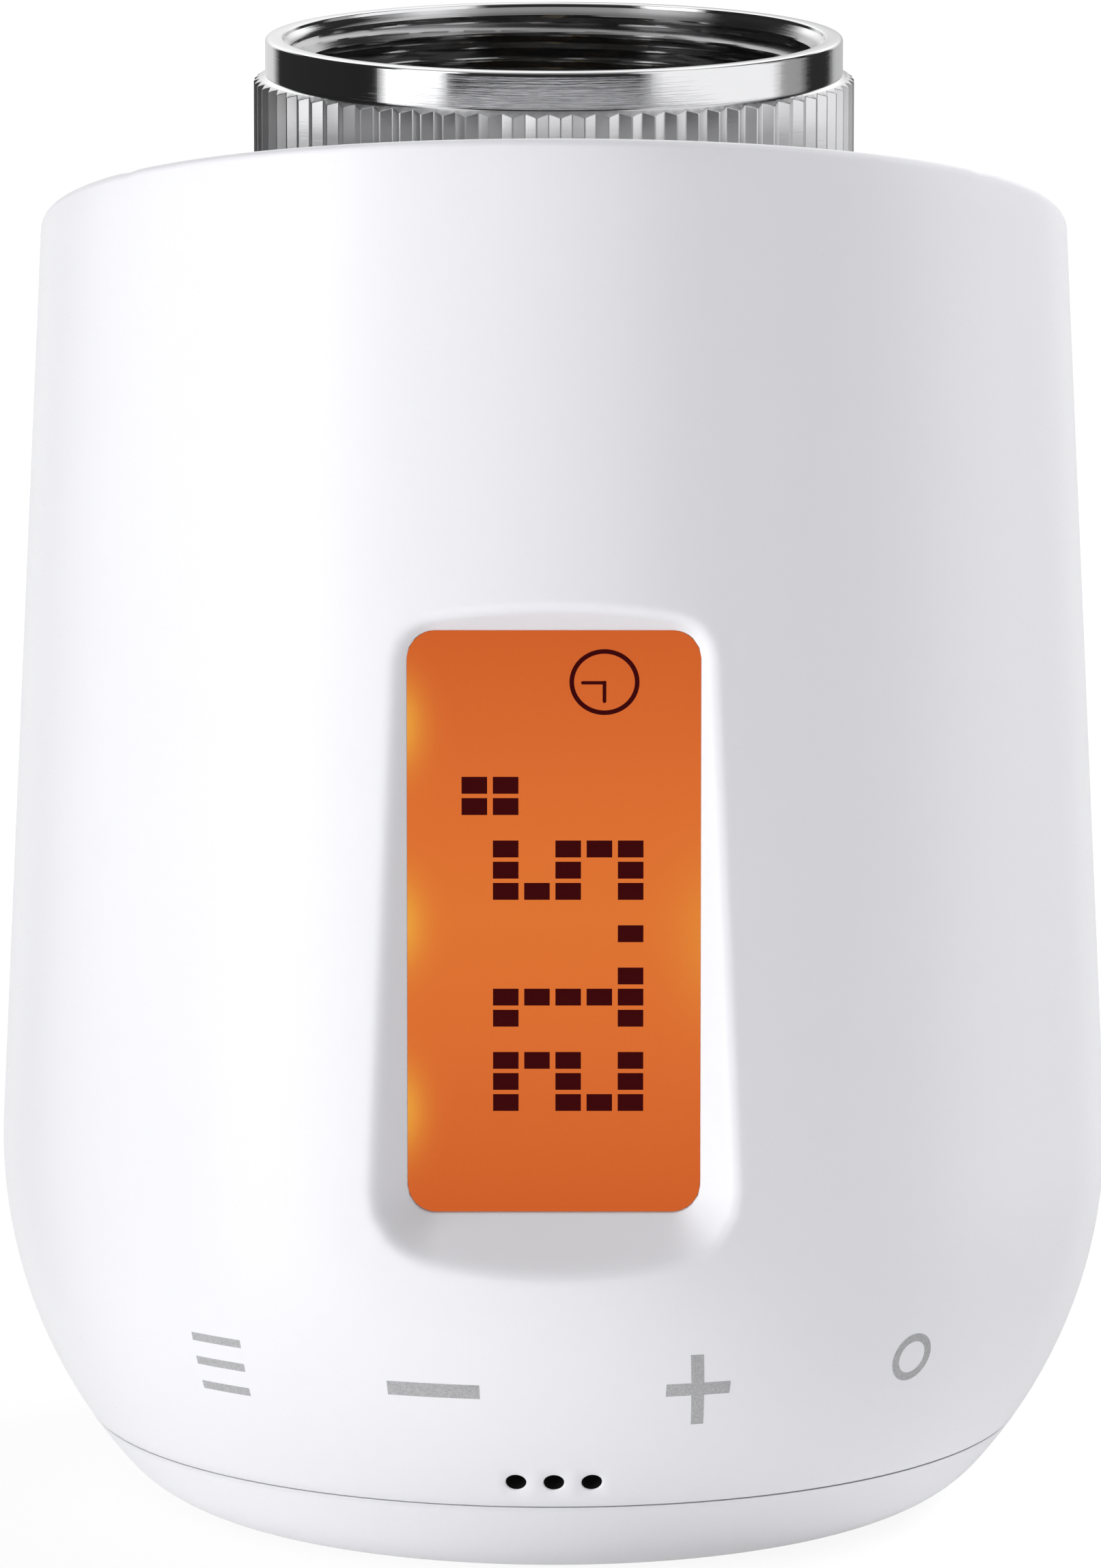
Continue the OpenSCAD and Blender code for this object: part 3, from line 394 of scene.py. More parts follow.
def barrel_side(z, inset=0.0):
    """Radius and height of the barrel's side, moved square into the wall by inset.

    It is a large arc round the belly, and above that a straight line that leans in by the taper.
    """
    z = np.asarray(z, float)
    lean = np.minimum(np.arcsin(np.clip((z - BELLY_Z) / BELLY_R, -1, 1)), TAPER)
    top = BELLY_Z + BELLY_R * math.sin(TAPER)
    r = np.where(z > top, BELLY_C + BELLY_R * math.cos(TAPER) - (z - top) * math.tan(TAPER),
                 BELLY_C + BELLY_R * np.cos(lean))
    return r - inset * np.cos(lean), z - inset * np.sin(lean)


def rake_height(y, drop=0.0):
    """Height of the raked top at depth y: a shallow circle in the side view, drop inside it."""
    return RAKE_C[1] + np.sqrt((RAKE_R - drop) ** 2 - (y - RAKE_C[0]) ** 2)


def under_rake(turn, inset, drop):
    """Radius and height of the point inset into the wall that lies drop below the raked top.

    It is found by repeated substitution.
    """
    z = np.full(np.broadcast_shapes(np.shape(turn), np.shape(inset), np.shape(drop)), RIM_Z)
    for _ in range(12):
        r = barrel_side(z)[0] - inset
        z = rake_height(-r * np.cos(turn), drop)
    return r, z


WINDOW_LOW, WINDOW_HIGH = box_mm("window_lens")
WINDOW_Y = WINDOW_LOW[1] - 0.21
WINDOW_Z = (WINDOW_LOW[2] + WINDOW_HIGH[2]) / 2
WINDOW_HALF, WINDOW_CORNER = (8.2, 16.55), 1.6
LENS_BACK = WINDOW_Y + 1.2


def front_of_barrel(x, z):
    """Depth of the plain barrel in front at width x and height z."""
    return -np.sqrt(barrel_side(z)[0] ** 2 - x ** 2)


def window_loop(across, up):
    """Rounded outline of the window and its outward direction.

    across and up run over the edge of a square from -1 to 1. Each side is straight up to a share
    of its length, and an eighth of a turn ends it at the corner.
    """
    a, b, r = *WINDOW_HALF, WINDOW_CORNER
    eighth = math.pi / 4

    def split(t, half):
        straight = (half - r) / (half - r + r * eighth)
        bent = np.clip((np.abs(t) - straight) / (1 - straight), 0, 1) * eighth
        return np.sign(t) * np.minimum(np.abs(t) / straight, 1) * (half - r), bent

    on_side = np.abs(across) >= np.abs(up)
    along_x, bend_x = split(across, a)
    along_z, bend_z = split(up, b)
    sx, sz = np.sign(across), np.sign(up)
    nx = np.where(on_side, sx * np.cos(bend_z), sx * np.sin(bend_x))
    nz = np.where(on_side, sz * np.sin(bend_z), sz * np.cos(bend_x))
    x = np.where(on_side, sx * (a - r), along_x) + r * nx
    z = np.where(on_side, along_z, sz * (b - r)) + r * nz
    return x, z, nx, nz


def soft_step(a, b, width):
    """The greater of a and b, with a rounded meeting of that width."""
    h = np.clip(width - np.abs(a - b), 0, None) / width
    return np.maximum(a, b) + h * h * width / 4


def housing_shell(finish):
    """White shell: the barrel turned on its axis and cut along the raked top with rounded edges.

    A sloped bezel runs round the window, and three bores stand square to the face.
    """
    # Columns by turn: close together over the bores, wider over the window, even round the back
    bores_end, window_end = 6.525, 22.5
    centre = np.radians(np.linspace(-bores_end, bores_end, 3 * BORE_COLUMNS + 1))
    near = np.radians(np.linspace(bores_end, window_end, 15))[1:]
    far = np.radians(np.linspace(window_end, 360 - window_end, 261))[1:-1]
    turn = np.concatenate([-near[::-1], centre, near, far])
    n, turns = len(turn), turn[None, :]

    # Rows by height: the band of the bores, a plain band, the band of the window
    bores_low, bores_high, window_low, window_high = 5.55, 7.65, 17.0, 58.6
    low = SEAM_Z + SEAM_GAP / 2
    z_bore = np.linspace(bores_low, bores_high, BORE_COLUMNS + 1)
    z_plain = np.linspace(bores_high, window_low, 11)[1:]
    z_window = np.linspace(window_low, window_high, 53)[1:]
    z_rows = np.concatenate([[low + SEAM_EDGE], z_bore, z_plain, z_window])
    bore_rows = (1, 1 + BORE_COLUMNS)
    window_rows = (len(z_rows) - 1 - len(z_window), len(z_rows) - 1)

    def wall(inset):
        r, z = barrel_side(z_rows[:, None], inset)
        return spin(r, z, turns)

    # Rim: rounded outer edge, flat top, rounded inner edge, each at its own inset and drop, with
    # a small nick in it to the left and to the right of the front
    outer, inner = 0.5, 0.25
    bend = np.linspace(0, QUARTER, 6)
    inset = np.concatenate([outer * (1 - np.cos(bend)), WALL - inner * (1 - np.sin(bend))])
    drop = np.concatenate([outer * (1 - np.sin(bend)), inner * (1 - np.cos(bend))])
    nick_turns, nick_half, nick_deep = (55.7, 304.3), 1.1, 0.12
    degrees = np.degrees(turns) % 360
    nick = sum(np.clip(1 - np.abs(degrees - a) / nick_half, 0, 1) for a in nick_turns) * nick_deep
    rim_r, rim_z = under_rake(turns, inset[:, None], drop[:, None] + nick)
    rim = spin(rim_r, rim_z, turns)
    climb = np.linspace(0, 1, 14)[1:-1][:, None]

    def upper(inset, end_r, end_z):
        """Rows from the top of the window's band to the rim."""
        r, z = barrel_side(z_rows[-1], inset)
        return spin(r + (end_r[None] - r) * climb, z + (end_z[None] - z) * climb, turns)

    outside, inside = wall(0.0), wall(WALL)
    foot_edge = []
    for a in np.linspace(0, QUARTER, 4)[:-1]:
        r, _ = barrel_side(low, SEAM_EDGE * (1 - math.sin(a)))
        foot_edge.append(spin(r, low + SEAM_EDGE * (1 - math.cos(a)), turn))
    profile = np.concatenate([
        np.stack(foot_edge), outside, upper(0.0, rim_r[0], rim_z[0]), rim,
        upper(WALL, rim_r[-1], rim_z[-1])[::-1], inside[::-1],
    ])
    first, last = len(foot_edge), len(profile) - 1
    keep = np.ones((len(profile), n), bool)

    def block(r0, r1, t0, t1):
        """Clears a block of both walls, from row r0 to r1 and from column t0 to t1.

        It returns the outer and the inner edge loop, and where each point of a loop lies across
        and up the block, from -1 to 1.
        """
        t0, t1 = t0 % n, t1 % n
        columns = np.arange(t0, t1 if t1 > t0 else t1 + n) % n
        rows = np.arange(r0, r1)
        keep[np.ix_(first + rows, columns)] = False
        keep[np.ix_(last - rows - 1, columns)] = False
        c, between = np.append(columns, t1), rows[1:]
        wide, tall = len(c), len(between)
        loop_r = np.concatenate([np.full(wide, r0), between, np.full(wide, r1), between[::-1]])
        loop_c = np.concatenate([c, np.full(tall, c[-1]), c[::-1], np.full(tall, c[0])])
        across = np.concatenate([np.linspace(-1, 1, wide), np.ones(tall),
                                 np.linspace(1, -1, wide), -np.ones(tall)])
        up = np.concatenate([-np.ones(wide), np.linspace(-1, 1, tall + 2)[1:-1],
                             np.ones(wide), np.linspace(1, -1, tall + 2)[1:-1]])
        return outside[loop_r, loop_c], inside[loop_r, loop_c], across, up

    solid = Solid()
    window_columns = (0, 2 * len(near) + 3 * BORE_COLUMNS)
    out_loop, in_loop, across, up = block(*window_rows, *window_columns)
    x0, z0, nx, nz = window_loop(across, up)
    z0 = z0 + WINDOW_Z
    # How far the slope runs outwards for each millimetre forwards, and the rounding at its end
    spread, rounding = 0.9 + 0.35 * nx ** 2, 0.55

    def away(d, y):
        """Points d outside the window's outline at depth y."""
        return np.stack([x0 + nx * d, y + 0 * x0, z0 + nz * d], -1)

    def bezel(d):
        """The slope, d outside the outline, where it is behind the barrel's face, or the face."""
        face = front_of_barrel(x0 + nx * d, z0 + nz * d)
        return away(d, soft_step(face, WINDOW_Y - d / spread, rounding))

    # Width at which the slope meets the barrel, found by repeated half corrections
    d_edge = np.full(len(x0), 1.0)
    for _ in range(40):
        behind = WINDOW_Y - d_edge / spread - front_of_barrel(x0 + nx * d_edge, z0 + nz * d_edge)
        d_edge = np.clip(d_edge + 0.5 * behind, 0.2, 6)
    grid = [away(0.0, WINDOW_Y)]
    grid += [bezel(d_edge * t) for t in (0.03, 0.2, 0.45, 0.65, 0.78, 0.88, 0.96)]
    grid += [bezel(d_edge + extra) for extra in (0.1, 0.25, 0.42, 0.6, 0.85)]
    end = grid[-1]
    for t in (0.3, 0.65):
        x, z = (end[:, k] + (out_loop[:, k] - end[:, k]) * t for k in (0, 2))
        grid.append(np.stack([x, front_of_barrel(x, z), z], -1))
    flange, lip, lip_edge = 1.9, 0.02, 0.06
    under = [away(flange, LENS_BACK), away(-lip, LENS_BACK), away(-lip, WINDOW_Y + lip_edge)]
    solid.grid(np.stack([in_loop, *under, *grid, out_loop]))

    # Bores: circles in the plane that touches the face, carried square into the wall
    r_mid = float(barrel_side(BORE_Z)[0])
    lean = math.asin((BORE_Z - BELLY_Z) / BELLY_R)
    for k in (-1, 0, 1):
        start = len(near) + BORE_COLUMNS * (1 + k)
        out_loop, in_loop, across, up = block(*bore_rows, start, start + BORE_COLUMNS)
        angle = np.arctan2(up, across)[:, None]
        mid = k * math.radians(BORE_PITCH)
        sin_mid, cos_mid = math.sin(mid), math.cos(mid)
        side = np.array([cos_mid, sin_mid, 0])
        face = np.array([sin_mid * math.cos(lean), -cos_mid * math.cos(lean), math.sin(lean)])
        rise = np.cross(side, face)
        rise = rise if rise[2] > 0 else -rise
        spot = np.array([r_mid * sin_mid, -r_mid * cos_mid, BORE_Z])
        hub = np.array([BELLY_C * sin_mid, -BELLY_C * cos_mid, BELLY_Z])

        def circle(r, deep=None):
            """Circle of radius r, deep below the face, or carried out onto the belly's arc."""
            flat = spot + r * (np.cos(angle) * side + np.sin(angle) * rise)
            if deep is not None:
                return flat - face * deep
            out = flat - hub
            return hub + out * (BELLY_R / np.linalg.norm(out, axis=1))[:, None]

        rings = [circle(BORE_R, 2.1), circle(BORE_R, 0.12), circle(BORE_R + 0.03, 0.04),
                 circle(BORE_R + 0.1)]
        solid.grid(np.stack([in_loop, *rings, out_loop]))
    solid.grid(profile, wrap_rows=True, keep=keep)
    make_piece("housing_shell", solid, "shell", finish, 50, ["housing"])


def end_cap_shell(finish):
    """Closing cap turned on the axis, with a flat foot, a small arc and the large arc to the seam.

    Inside the shell stands its spigot with grip ribs, round a flat floor.
    """
    turn = np.linspace(0, 2 * math.pi, 288, endpoint=False)
    top, edge = SEAM_Z - SEAM_GAP / 2, SEAM_EDGE
    spigot = float(barrel_side(SEAM_Z, WALL)[0]) - 0.2
    peak, floor = SEAM_Z + 2.2, 2.0
    arc = np.linspace(-QUARTER, -FOOT_TURN, 14)
    side_z = np.linspace(FOOT_C[1] - FOOT_R * math.sin(FOOT_TURN), top - edge, 8)[1:]
    side_r = barrel_side(side_z)[0]
    bend = np.linspace(0, QUARTER, 5)[1:]
    r_top = float(barrel_side(top)[0])
    r = np.concatenate([
        [0, 6, 12, 17, FOOT_C[0] - 0.4], FOOT_C[0] + FOOT_R * np.cos(arc), side_r,
        r_top - edge * (1 - np.cos(bend)), [spigot + 0.25, spigot, spigot, spigot, spigot - 0.3],
        [spigot - 1.0, spigot - 1.2, spigot - 1.2, spigot - 1.5, 12, 6, 0],
    ])
    z = np.concatenate([
        [0, 0, 0, 0, 0], FOOT_C[1] + FOOT_R * np.sin(arc), side_z,
        top - edge * (1 - np.sin(bend)), [top, top + 0.2, top + 0.5, peak - 0.3, peak],
        [peak, peak - 0.2, floor + 0.3, floor, floor, floor, floor],
    ])
    rib_step, rib_half, rib_deep = 45, 1.4, 0.1
    rib = np.abs((np.degrees(turn) + rib_step / 2) % rib_step - rib_step / 2) < rib_half
    on_spigot = (z > top + 0.4) & (z < peak) & (r > spigot - 0.1)
    radius = r[:, None] + rib_deep * on_spigot[:, None] * rib[None, :]
    solid = Solid()
    solid.grid(spin(radius, z[:, None], turn[None, :]))
    make_piece("end_cap_shell", solid, "cap", finish, 40, ["end_cap"])


def top_cover_plate(finish):
    """Ring plate a little below the rim that follows the rake.

    Its wall drops round the nut where the rake is high.
    """
    turn = np.linspace(0, 2 * math.pi, 288, endpoint=False)[None, :]
    level = 0 * turn
    well, wall, inset, soft = 17.45, 1.0, WALL + 0.15, 0.3
    sunk, under = 0.4, 2.4
    well_floor = 67.65
    r_out, _ = under_rake(turn, inset, sunk)
    steps = np.linspace(0, 1, 9)[:, None]
    bend = np.linspace(0, QUARTER, 5)[:, None]

    def on(r, drop):
        return spin(r, rake_height(-r * np.cos(turn), drop), turn)

    outer = on(r_out - soft * (1 - np.cos(bend)), sunk + soft * (1 - np.sin(bend)))
    flat = on((r_out - soft) + (well + soft - r_out + soft) * steps, sunk + 0 * steps)
    inner = on(well + soft * (1 - np.sin(bend)) + level, sunk + soft * (1 - np.cos(bend)))
    floor = np.minimum(well_floor, rake_height(-(well + wall) * np.cos(turn), under))
    wall_in = spin(well + level, np.minimum(floor, inner[-1:, :, 2]), turn)
    wall_out = spin(well + wall + level, floor, turn)
    under_in, under_out = on(well + wall + level, under), on(r_out, under)
    solid = Solid()
    solid.grid(np.concatenate([outer, flat[1:-1], inner, wall_in, wall_out, under_in, under_out]),
               wrap_rows=True)
    make_piece("top_cover_plate", solid, "shell", finish, 40, ["top_cover"])


# ---------------------------------------------------------------- union nut

NUT_TEETH = 80
NUT_TOP, NUT_LOW = 84.9, 69.9
RIDGE_R, VALLEY_R, RING_R, MOUTH_R = 17.2, 16.9, 16.55, 15.62
# Thread: radius of its crests and of its roots, height of one pitch, and where it starts
MINOR_R, MAJOR_R, THREAD_PITCH, THREAD_LOW = 14.19, 15.1, 1.5, 74.45
RELIEF_R, NECK_R, NECK_TOP = 15.15, 13.25, NUT_LOW + 2.5


def union_nut_metal(finish):
    """Union nut: roof-shaped knurl teeth, each cut off by a cone above and below, and a ring.

    The ring is smooth and ends in a rounded lip. Inside climbs a thread, one pitch in each turn.
    """
    step = 2 * math.pi / NUT_TEETH
    shoulder, lip, mouth_edge = NUT_TOP - 2.1, 0.22, 0.12
    # Each tooth has a narrow flat on its ridge and one in its valley, and two straight faces
    shares = np.array([-0.035, 0.035, 0.25, 0.475, 0.525, 0.75])
    middle = (RIDGE_R * math.cos(step / 4) + VALLEY_R * math.cos(step / 4)) / 2
    radii = [RIDGE_R, RIDGE_R, middle, VALLEY_R, VALLEY_R, middle]
    outline = np.tile(radii, NUT_TEETH)[None, :]
    first_tooth = math.radians(1.25)
    turn = ((np.arange(NUT_TEETH)[:, None] + shares) * step + first_tooth).ravel()[None, :]
    slope_high, slope_low = 0.39 / 0.65, 0.9
    cut_high = shoulder - (outline - RING_R) * slope_high
    cut_low = NUT_LOW + (outline - VALLEY_R + 0.15) * slope_low
    level = 0 * turn

    def ring_row(r, z):
        return spin(r + level, z + level, turn)

    # Rows up the outside: the teeth with their two cuts, the shoulder, the ring, lip and mouth
    outside = [ring_row(VALLEY_R - 0.15, NUT_LOW), spin(outline, cut_low, turn)]
    outside += [spin(outline, cut_low + (cut_high - cut_low) * t, turn) for t in (0.15, 0.5, 0.85)]
    outside += [spin(outline, cut_high - 0.05, turn), spin(outline - 0.012, cut_high - 0.012, turn),
                spin(outline - 0.05, cut_high + 0.05 * slope_high, turn)]
    outside += [ring_row(RING_R + out, shoulder - out * slope_high) for out in (0.16, 0.03)]
    outside += [ring_row(RING_R + out, z) for out, z in (
        (-0.04, shoulder), (-0.04, shoulder + 0.05), (0, shoulder + 0.07),
        (0, NUT_TOP - 1.0), (0, NUT_TOP - lip - 0.05))]
    for a in np.linspace(0, QUARTER, 6):
        sunk, drop = lip * (1 - math.cos(a)), lip * (1 - math.sin(a))
        outside.append(ring_row(RING_R - sunk, NUT_TOP - drop))
    for a in np.linspace(0, QUARTER, 6)[:-1]:
        sunk, drop = mouth_edge * math.sin(a), mouth_edge * (1 - math.cos(a))
        outside.append(ring_row(MOUTH_R - sunk, NUT_TOP - drop))

    # Thread: flats at crest and root joined by slightly rounded flanks, trimmed by the cone of the
    # mouth. depth is the share of the way from crest to root, and it fades out at the low end
    root_half, flank, rounded = 0.125, 0.3125, 0.25
    fade_height, cone_slope, thread_top = 0.8, 0.95, NUT_TOP - 0.2
    z = np.linspace(thread_top, THREAD_LOW, 124)[:, None]
    phase = ((z - THREAD_PITCH * turn / (2 * math.pi)) / THREAD_PITCH) % 1.0
    depth = np.clip((root_half + flank - np.abs(phase - 0.5)) / flank, 0, 1)
    depth = depth * depth * (3 - 2 * depth) * rounded + depth * (1 - rounded)
    fade = np.clip((z - THREAD_LOW) / fade_height, 0, 1)
    inside = MINOR_R + (MAJOR_R - MINOR_R) * depth * fade
    cone = (MOUTH_R - 0.16) - (thread_top - z) * cone_slope
    thread = spin(np.maximum(inside, cone), z, turn)
    tail = [ring_row(RELIEF_R, THREAD_LOW - 0.02), ring_row(RELIEF_R, NECK_TOP),
            ring_row(NECK_R, NECK_TOP), ring_row(NECK_R, NUT_LOW)]
    solid = Solid()
    solid.grid(np.concatenate([*outside, thread, *tail]), wrap_rows=True)
    make_piece("union_nut_metal", solid, "nut", finish, 17, ["union_nut"])


# ---------------------------------------------------------------- display and printed marks

# Dots of the display by row from the top and column from the left. Read from the side, they
# spell a temperature
DOTS = {
    0: (0, 1), 1: (0, 1), 3: (1, 3, 4, 5), 4: (1, 3, 5), 5: (1, 2, 3, 5), 7: (5,), 9: (5,),
    10: (1, 2, 3, 4, 5), 11: (1, 5), 13: (1, 2, 3, 5), 14: (1, 3, 5), 15: (1, 3, 4, 5),
}
DOT_LEFT, DOT_TOP, DOT_STEP, DOT_SIZE = -5.15, 46.76, (1.743, 1.204), (1.43, 0.96)
CLOCK_X, CLOCK_Z, CLOCK_R, CLOCK_LINE = 2.81, 52.12, (1.95, 1.86), 0.26
HAND_Z = 52.08
# Heights of the touch signs' middle, of the three bars and of the ring
SIGN_Z, MENU_Z, RING_Z = 12.4, (14.05, 12.60, 11.10), 12.75
# Marks stand proud of the face by a little and reach some way under it
PROUD, UNDER = 0.012, 0.03


def display_marks(finish):
    """Dark marks on the display glass: a grid of dots, and a clock of a ring and two hands."""
    solid = Solid()
    face = box_mm("lcd_panel")[0][1]

    def layers(x, z):
        """Points just before the glass and just under its face."""
        return [np.stack([x, 0 * x + y, z], -1) for y in (face - 0.02, face + UNDER)]

    for row, columns in DOTS.items():
        for column in columns:
            x0, z0 = DOT_LEFT + DOT_STEP[0] * column, DOT_TOP - DOT_STEP[1] * row
            x, z = np.meshgrid([x0, x0 + DOT_SIZE[0]], [z0 - DOT_SIZE[1], z0])
            solid.plate(*layers(x, z))
    a = np.linspace(0, 2 * math.pi, 96, endpoint=False)[None, :]
    inset = np.array([[0.0], [CLOCK_LINE]])
    solid.ring(*layers(CLOCK_X + (CLOCK_R[0] - inset) * np.cos(a),
                       CLOCK_Z + (CLOCK_R[1] - inset) * np.sin(a)))

    def hand(x1, z1, width):
        """Bar from the clock's middle to a point, where it ends in a half circle."""
        along = np.array([x1 - CLOCK_X, z1 - HAND_Z])
        length = np.hypot(*along)
        along = along / length
        side = np.array([-along[1], along[0]])
        half = width / 2
        bend = np.linspace(0, QUARTER, 7)[1:]
        s = np.concatenate([-half + (length + half) * np.linspace(0, 1, 3),
                            length + half * np.sin(bend)])[:, None]
        w = np.concatenate([np.full(3, half), half * np.cos(bend)])[:, None] * [[-1.0, 1.0]]
        solid.plate(*layers(CLOCK_X + along[0] * s + side[0] * w,
                            HAND_Z + along[1] * s + side[1] * w))

    hand(1.60, HAND_Z, 0.19)
    hand(CLOCK_X, 51.04, 0.21)
    make_piece("display_marks", solid, "shell", finish, 30)


def touch_marks(finish):
    """Signs of the touch fields, on the curved face: three bars, a minus, a plus and a ring."""
    solid = Solid()

    def layers(turn, z):
        """Points just before the barrel's face and just under it."""
        return [spin(*barrel_side(z, inset), turn) for inset in (-PROUD, UNDER)]

    def bar(from_turn, to_turn, z0, z1, columns=12, slant=0.0):
        """Bar between two turns in degrees and two heights.

        slant turns each level by that many degrees a millimetre above the middle of the signs.
        """
        turn = np.radians(np.linspace(from_turn, to_turn, columns))[None, :]
        z = np.linspace(z0, z1, 3)[:, None] + 0 * turn
        solid.plate(*layers(turn + np.radians(slant) * (z - SIGN_Z), z))

    menu_half, minus_half, plus_half = 0.24, 0.42, 0.37
    for z in MENU_Z:
        bar(-40.9, -34.5, z - menu_half, z + menu_half)
    bar(-17.7, -7.8, SIGN_Z - minus_half, SIGN_Z + minus_half, 16)
    bar(11.8, 18.75, SIGN_Z - plus_half, SIGN_Z + plus_half, 14)
    for z0, z1 in ((10.2, SIGN_Z - plus_half), (SIGN_Z + plus_half, 14.5)):
        bar(15.2 - 0.69, 15.2 + 0.69, z0, z1, 5, slant=-0.16)
    ring_turn, face_r = math.radians(41.0), 30.9
    a = np.linspace(0, 2 * math.pi, 72, endpoint=False)[None, :]
    r = np.array([[1.42], [0.95]])
    solid.ring(*layers(ring_turn + r * np.cos(a) / face_r, RING_Z + r * np.sin(a)))
    make_piece("touch_marks", solid, "shell", finish, 30)


def tube(path, radius, sides=14):
    """Round tube: at each point of the path stands a circle square to the path."""
    step = np.gradient(path, axis=0)
    step /= np.linalg.norm(step, axis=1)[:, None]
    side = np.cross(step, np.array([0, 0, 1.0]))
    side /= np.linalg.norm(side, axis=1)[:, None]
    lift = np.cross(side, step)
    a = np.linspace(0, 2 * math.pi, sides, endpoint=False)[None, :, None]
    return path[:, None] + radius * (np.cos(a) * side[:, None] + np.sin(a) * lift[:, None])


def cap_spring_wires(finish):
    """Two wound springs that narrow as they climb.

    The radius falls and the height grows with the turn, and the first and last turn lie flat.
    """
    low, high = box_mm("cap_springs")
    wire, coils = 0.43, 4.2
    wide, narrowing = 4.6, 1.65
    flat_coils, climbing_coils = 0.6, 3.0
    mid_x, mid_y = 8.0, 12.5
    solid = Solid()
    t = np.linspace(0, 1, 200)
    turn = t * 2 * math.pi * coils
    rise = np.clip((t * coils - flat_coils) / climbing_coils, 0, 1)
    r = wide - narrowing * rise
    z = low[2] + wire + (high[2] - low[2] - 2 * wire) * rise
    for x in (-mid_x, mid_x):
        path = np.stack([x + r * np.cos(turn), mid_y + r * np.sin(turn), z], -1)
        skin = tube(path, wire)
        ends = [np.repeat(row.mean(1, keepdims=True), row.shape[1], 1)
                for row in (skin[:1], skin[-1:])]
        solid.grid(np.concatenate([ends[0], skin, ends[1]]))
    make_piece("cap_spring_wires", solid, "cap", finish, 60, ["cap_springs"])


# ---------------------------------------------------------------- effects shared by the finishes

def new_group(name, inputs):
    """Empty shader group that takes named values and gives a colour, a roughness and a normal."""
    group = bpy.data.node_groups.new(name, "ShaderNodeTree")
    for label, kind, value in inputs:
        socket = group.interface.new_socket(label, in_out="INPUT", socket_type="NodeSocket" + kind)
        socket.default_value = value
    for label, kind in (("Color", "Color"), ("Roughness", "Float"), ("Normal", "Vector")):
        group.interface.new_socket(label, in_out="OUTPUT", socket_type="NodeSocket" + kind)
    bench = Bench(group)
    return group, bench, bench.add("NodeGroupInput").outputs


def moulded_group():
    """Moulded plastic: faint clouds of tone, a fine skin and a slow waviness of the face."""
    group, b, given = new_group("moulded_skin", [
        ("Tone", "Color", rgba(0.8)), ("Mottle", "Float", 0.02), ("Speckle", "Float", 0.0),
        ("Skin Size", "Float", 9000.0), ("Relief", "Float", 0.05), ("Roughness", "Float", 0.3),
    ])
    spot = b.place()
    cloud = b.add("ShaderNodeTexNoise", Vector=spot, Scale=90.0, Detail=3.0)
    grain = b.add("ShaderNodeTexNoise", Vector=spot, Scale=given["Skin Size"], Detail=2.0)
    shift = b.math("ADD", b.swing(cloud, given["Mottle"]), b.swing(grain, given["Speckle"]))
    tone = b.vector("SCALE", given["Tone"], Scale=b.math("ADD", shift, 1.0))
    rough = b.math("ADD", b.swing(grain, 0.12), given["Roughness"])
    height = b.math("MULTIPLY_ADD", cloud.outputs[0], 0.5, grain.outputs[0])
    bump = b.add("ShaderNodeBump", Strength=given["Relief"], Distance=0.00004, Height=height)
    b.add("NodeGroupOutput", Color=tone, Roughness=rough, Normal=bump)
    return group


def turned_group():
    """Turned metal: rings of fine tool marks round the axis, under a thin film."""
    group, b, given = new_group("turned_metal", [
        ("Tone", "Color", rgba(0.8)), ("Lines", "Float", 5200.0), ("Relief", "Float", 0.2),
        ("Film", "Float", 0.05), ("Roughness", "Float", 0.1),
    ])
    spot = b.place()
    x, y, z = b.split(b.vector("MULTIPLY", spot, i1=(60.0, 60.0, 1.0)))
    stretched = b.add("ShaderNodeCombineXYZ", i0=x, i1=y, i2=b.math("MULTIPLY", z, given["Lines"]))
    lines = b.add("ShaderNodeTexNoise", Vector=stretched, Scale=1.0, Detail=4.0, Roughness=0.7)
    film = b.add("ShaderNodeTexNoise", Vector=spot, Scale=350.0, Detail=5.0, Roughness=0.6)
    haze = b.swing(film, given["Film"])
    tone = b.vector("SCALE", given["Tone"], Scale=b.math("ADD", haze, 1.0))
    rough = b.math("ADD", given["Roughness"], b.math("ABSOLUTE", haze))
    bump = b.add("ShaderNodeBump", Strength=given["Relief"], Distance=0.00002,
                 Height=lines.outputs[0])
    b.add("NodeGroupOutput", Color=tone, Roughness=rough, Normal=bump)
    return group


MOULDED, TURNED = moulded_group(), turned_group()


def finish_of(name, group, values, **fixed):
    """Material whose colour, roughness and normal come from a group; fixed goes to the shader."""
    m, b = new_material(name)
    b.coat(b.add("ShaderNodeGroup", {"node_tree": group}, **values), **fixed)
    return m


def plastic(name, tone, roughness=0.3, mottle=0.02, relief=0.05, speckle=0.0, **fixed):
    values = {"Tone": rgba(tone), "Mottle": mottle, "Speckle": speckle, "Skin Size": 9000.0,
              "Relief": relief, "Roughness": roughness}
    return finish_of(name, MOULDED, values, **fixed)


def metal(name, tone, roughness):
    values = {"Tone": rgba(tone), "Lines": 5200.0, "Relief": 0.2, "Film": 0.06,
              "Roughness": roughness}
    return finish_of(name, TURNED, values, Metallic=1.0)


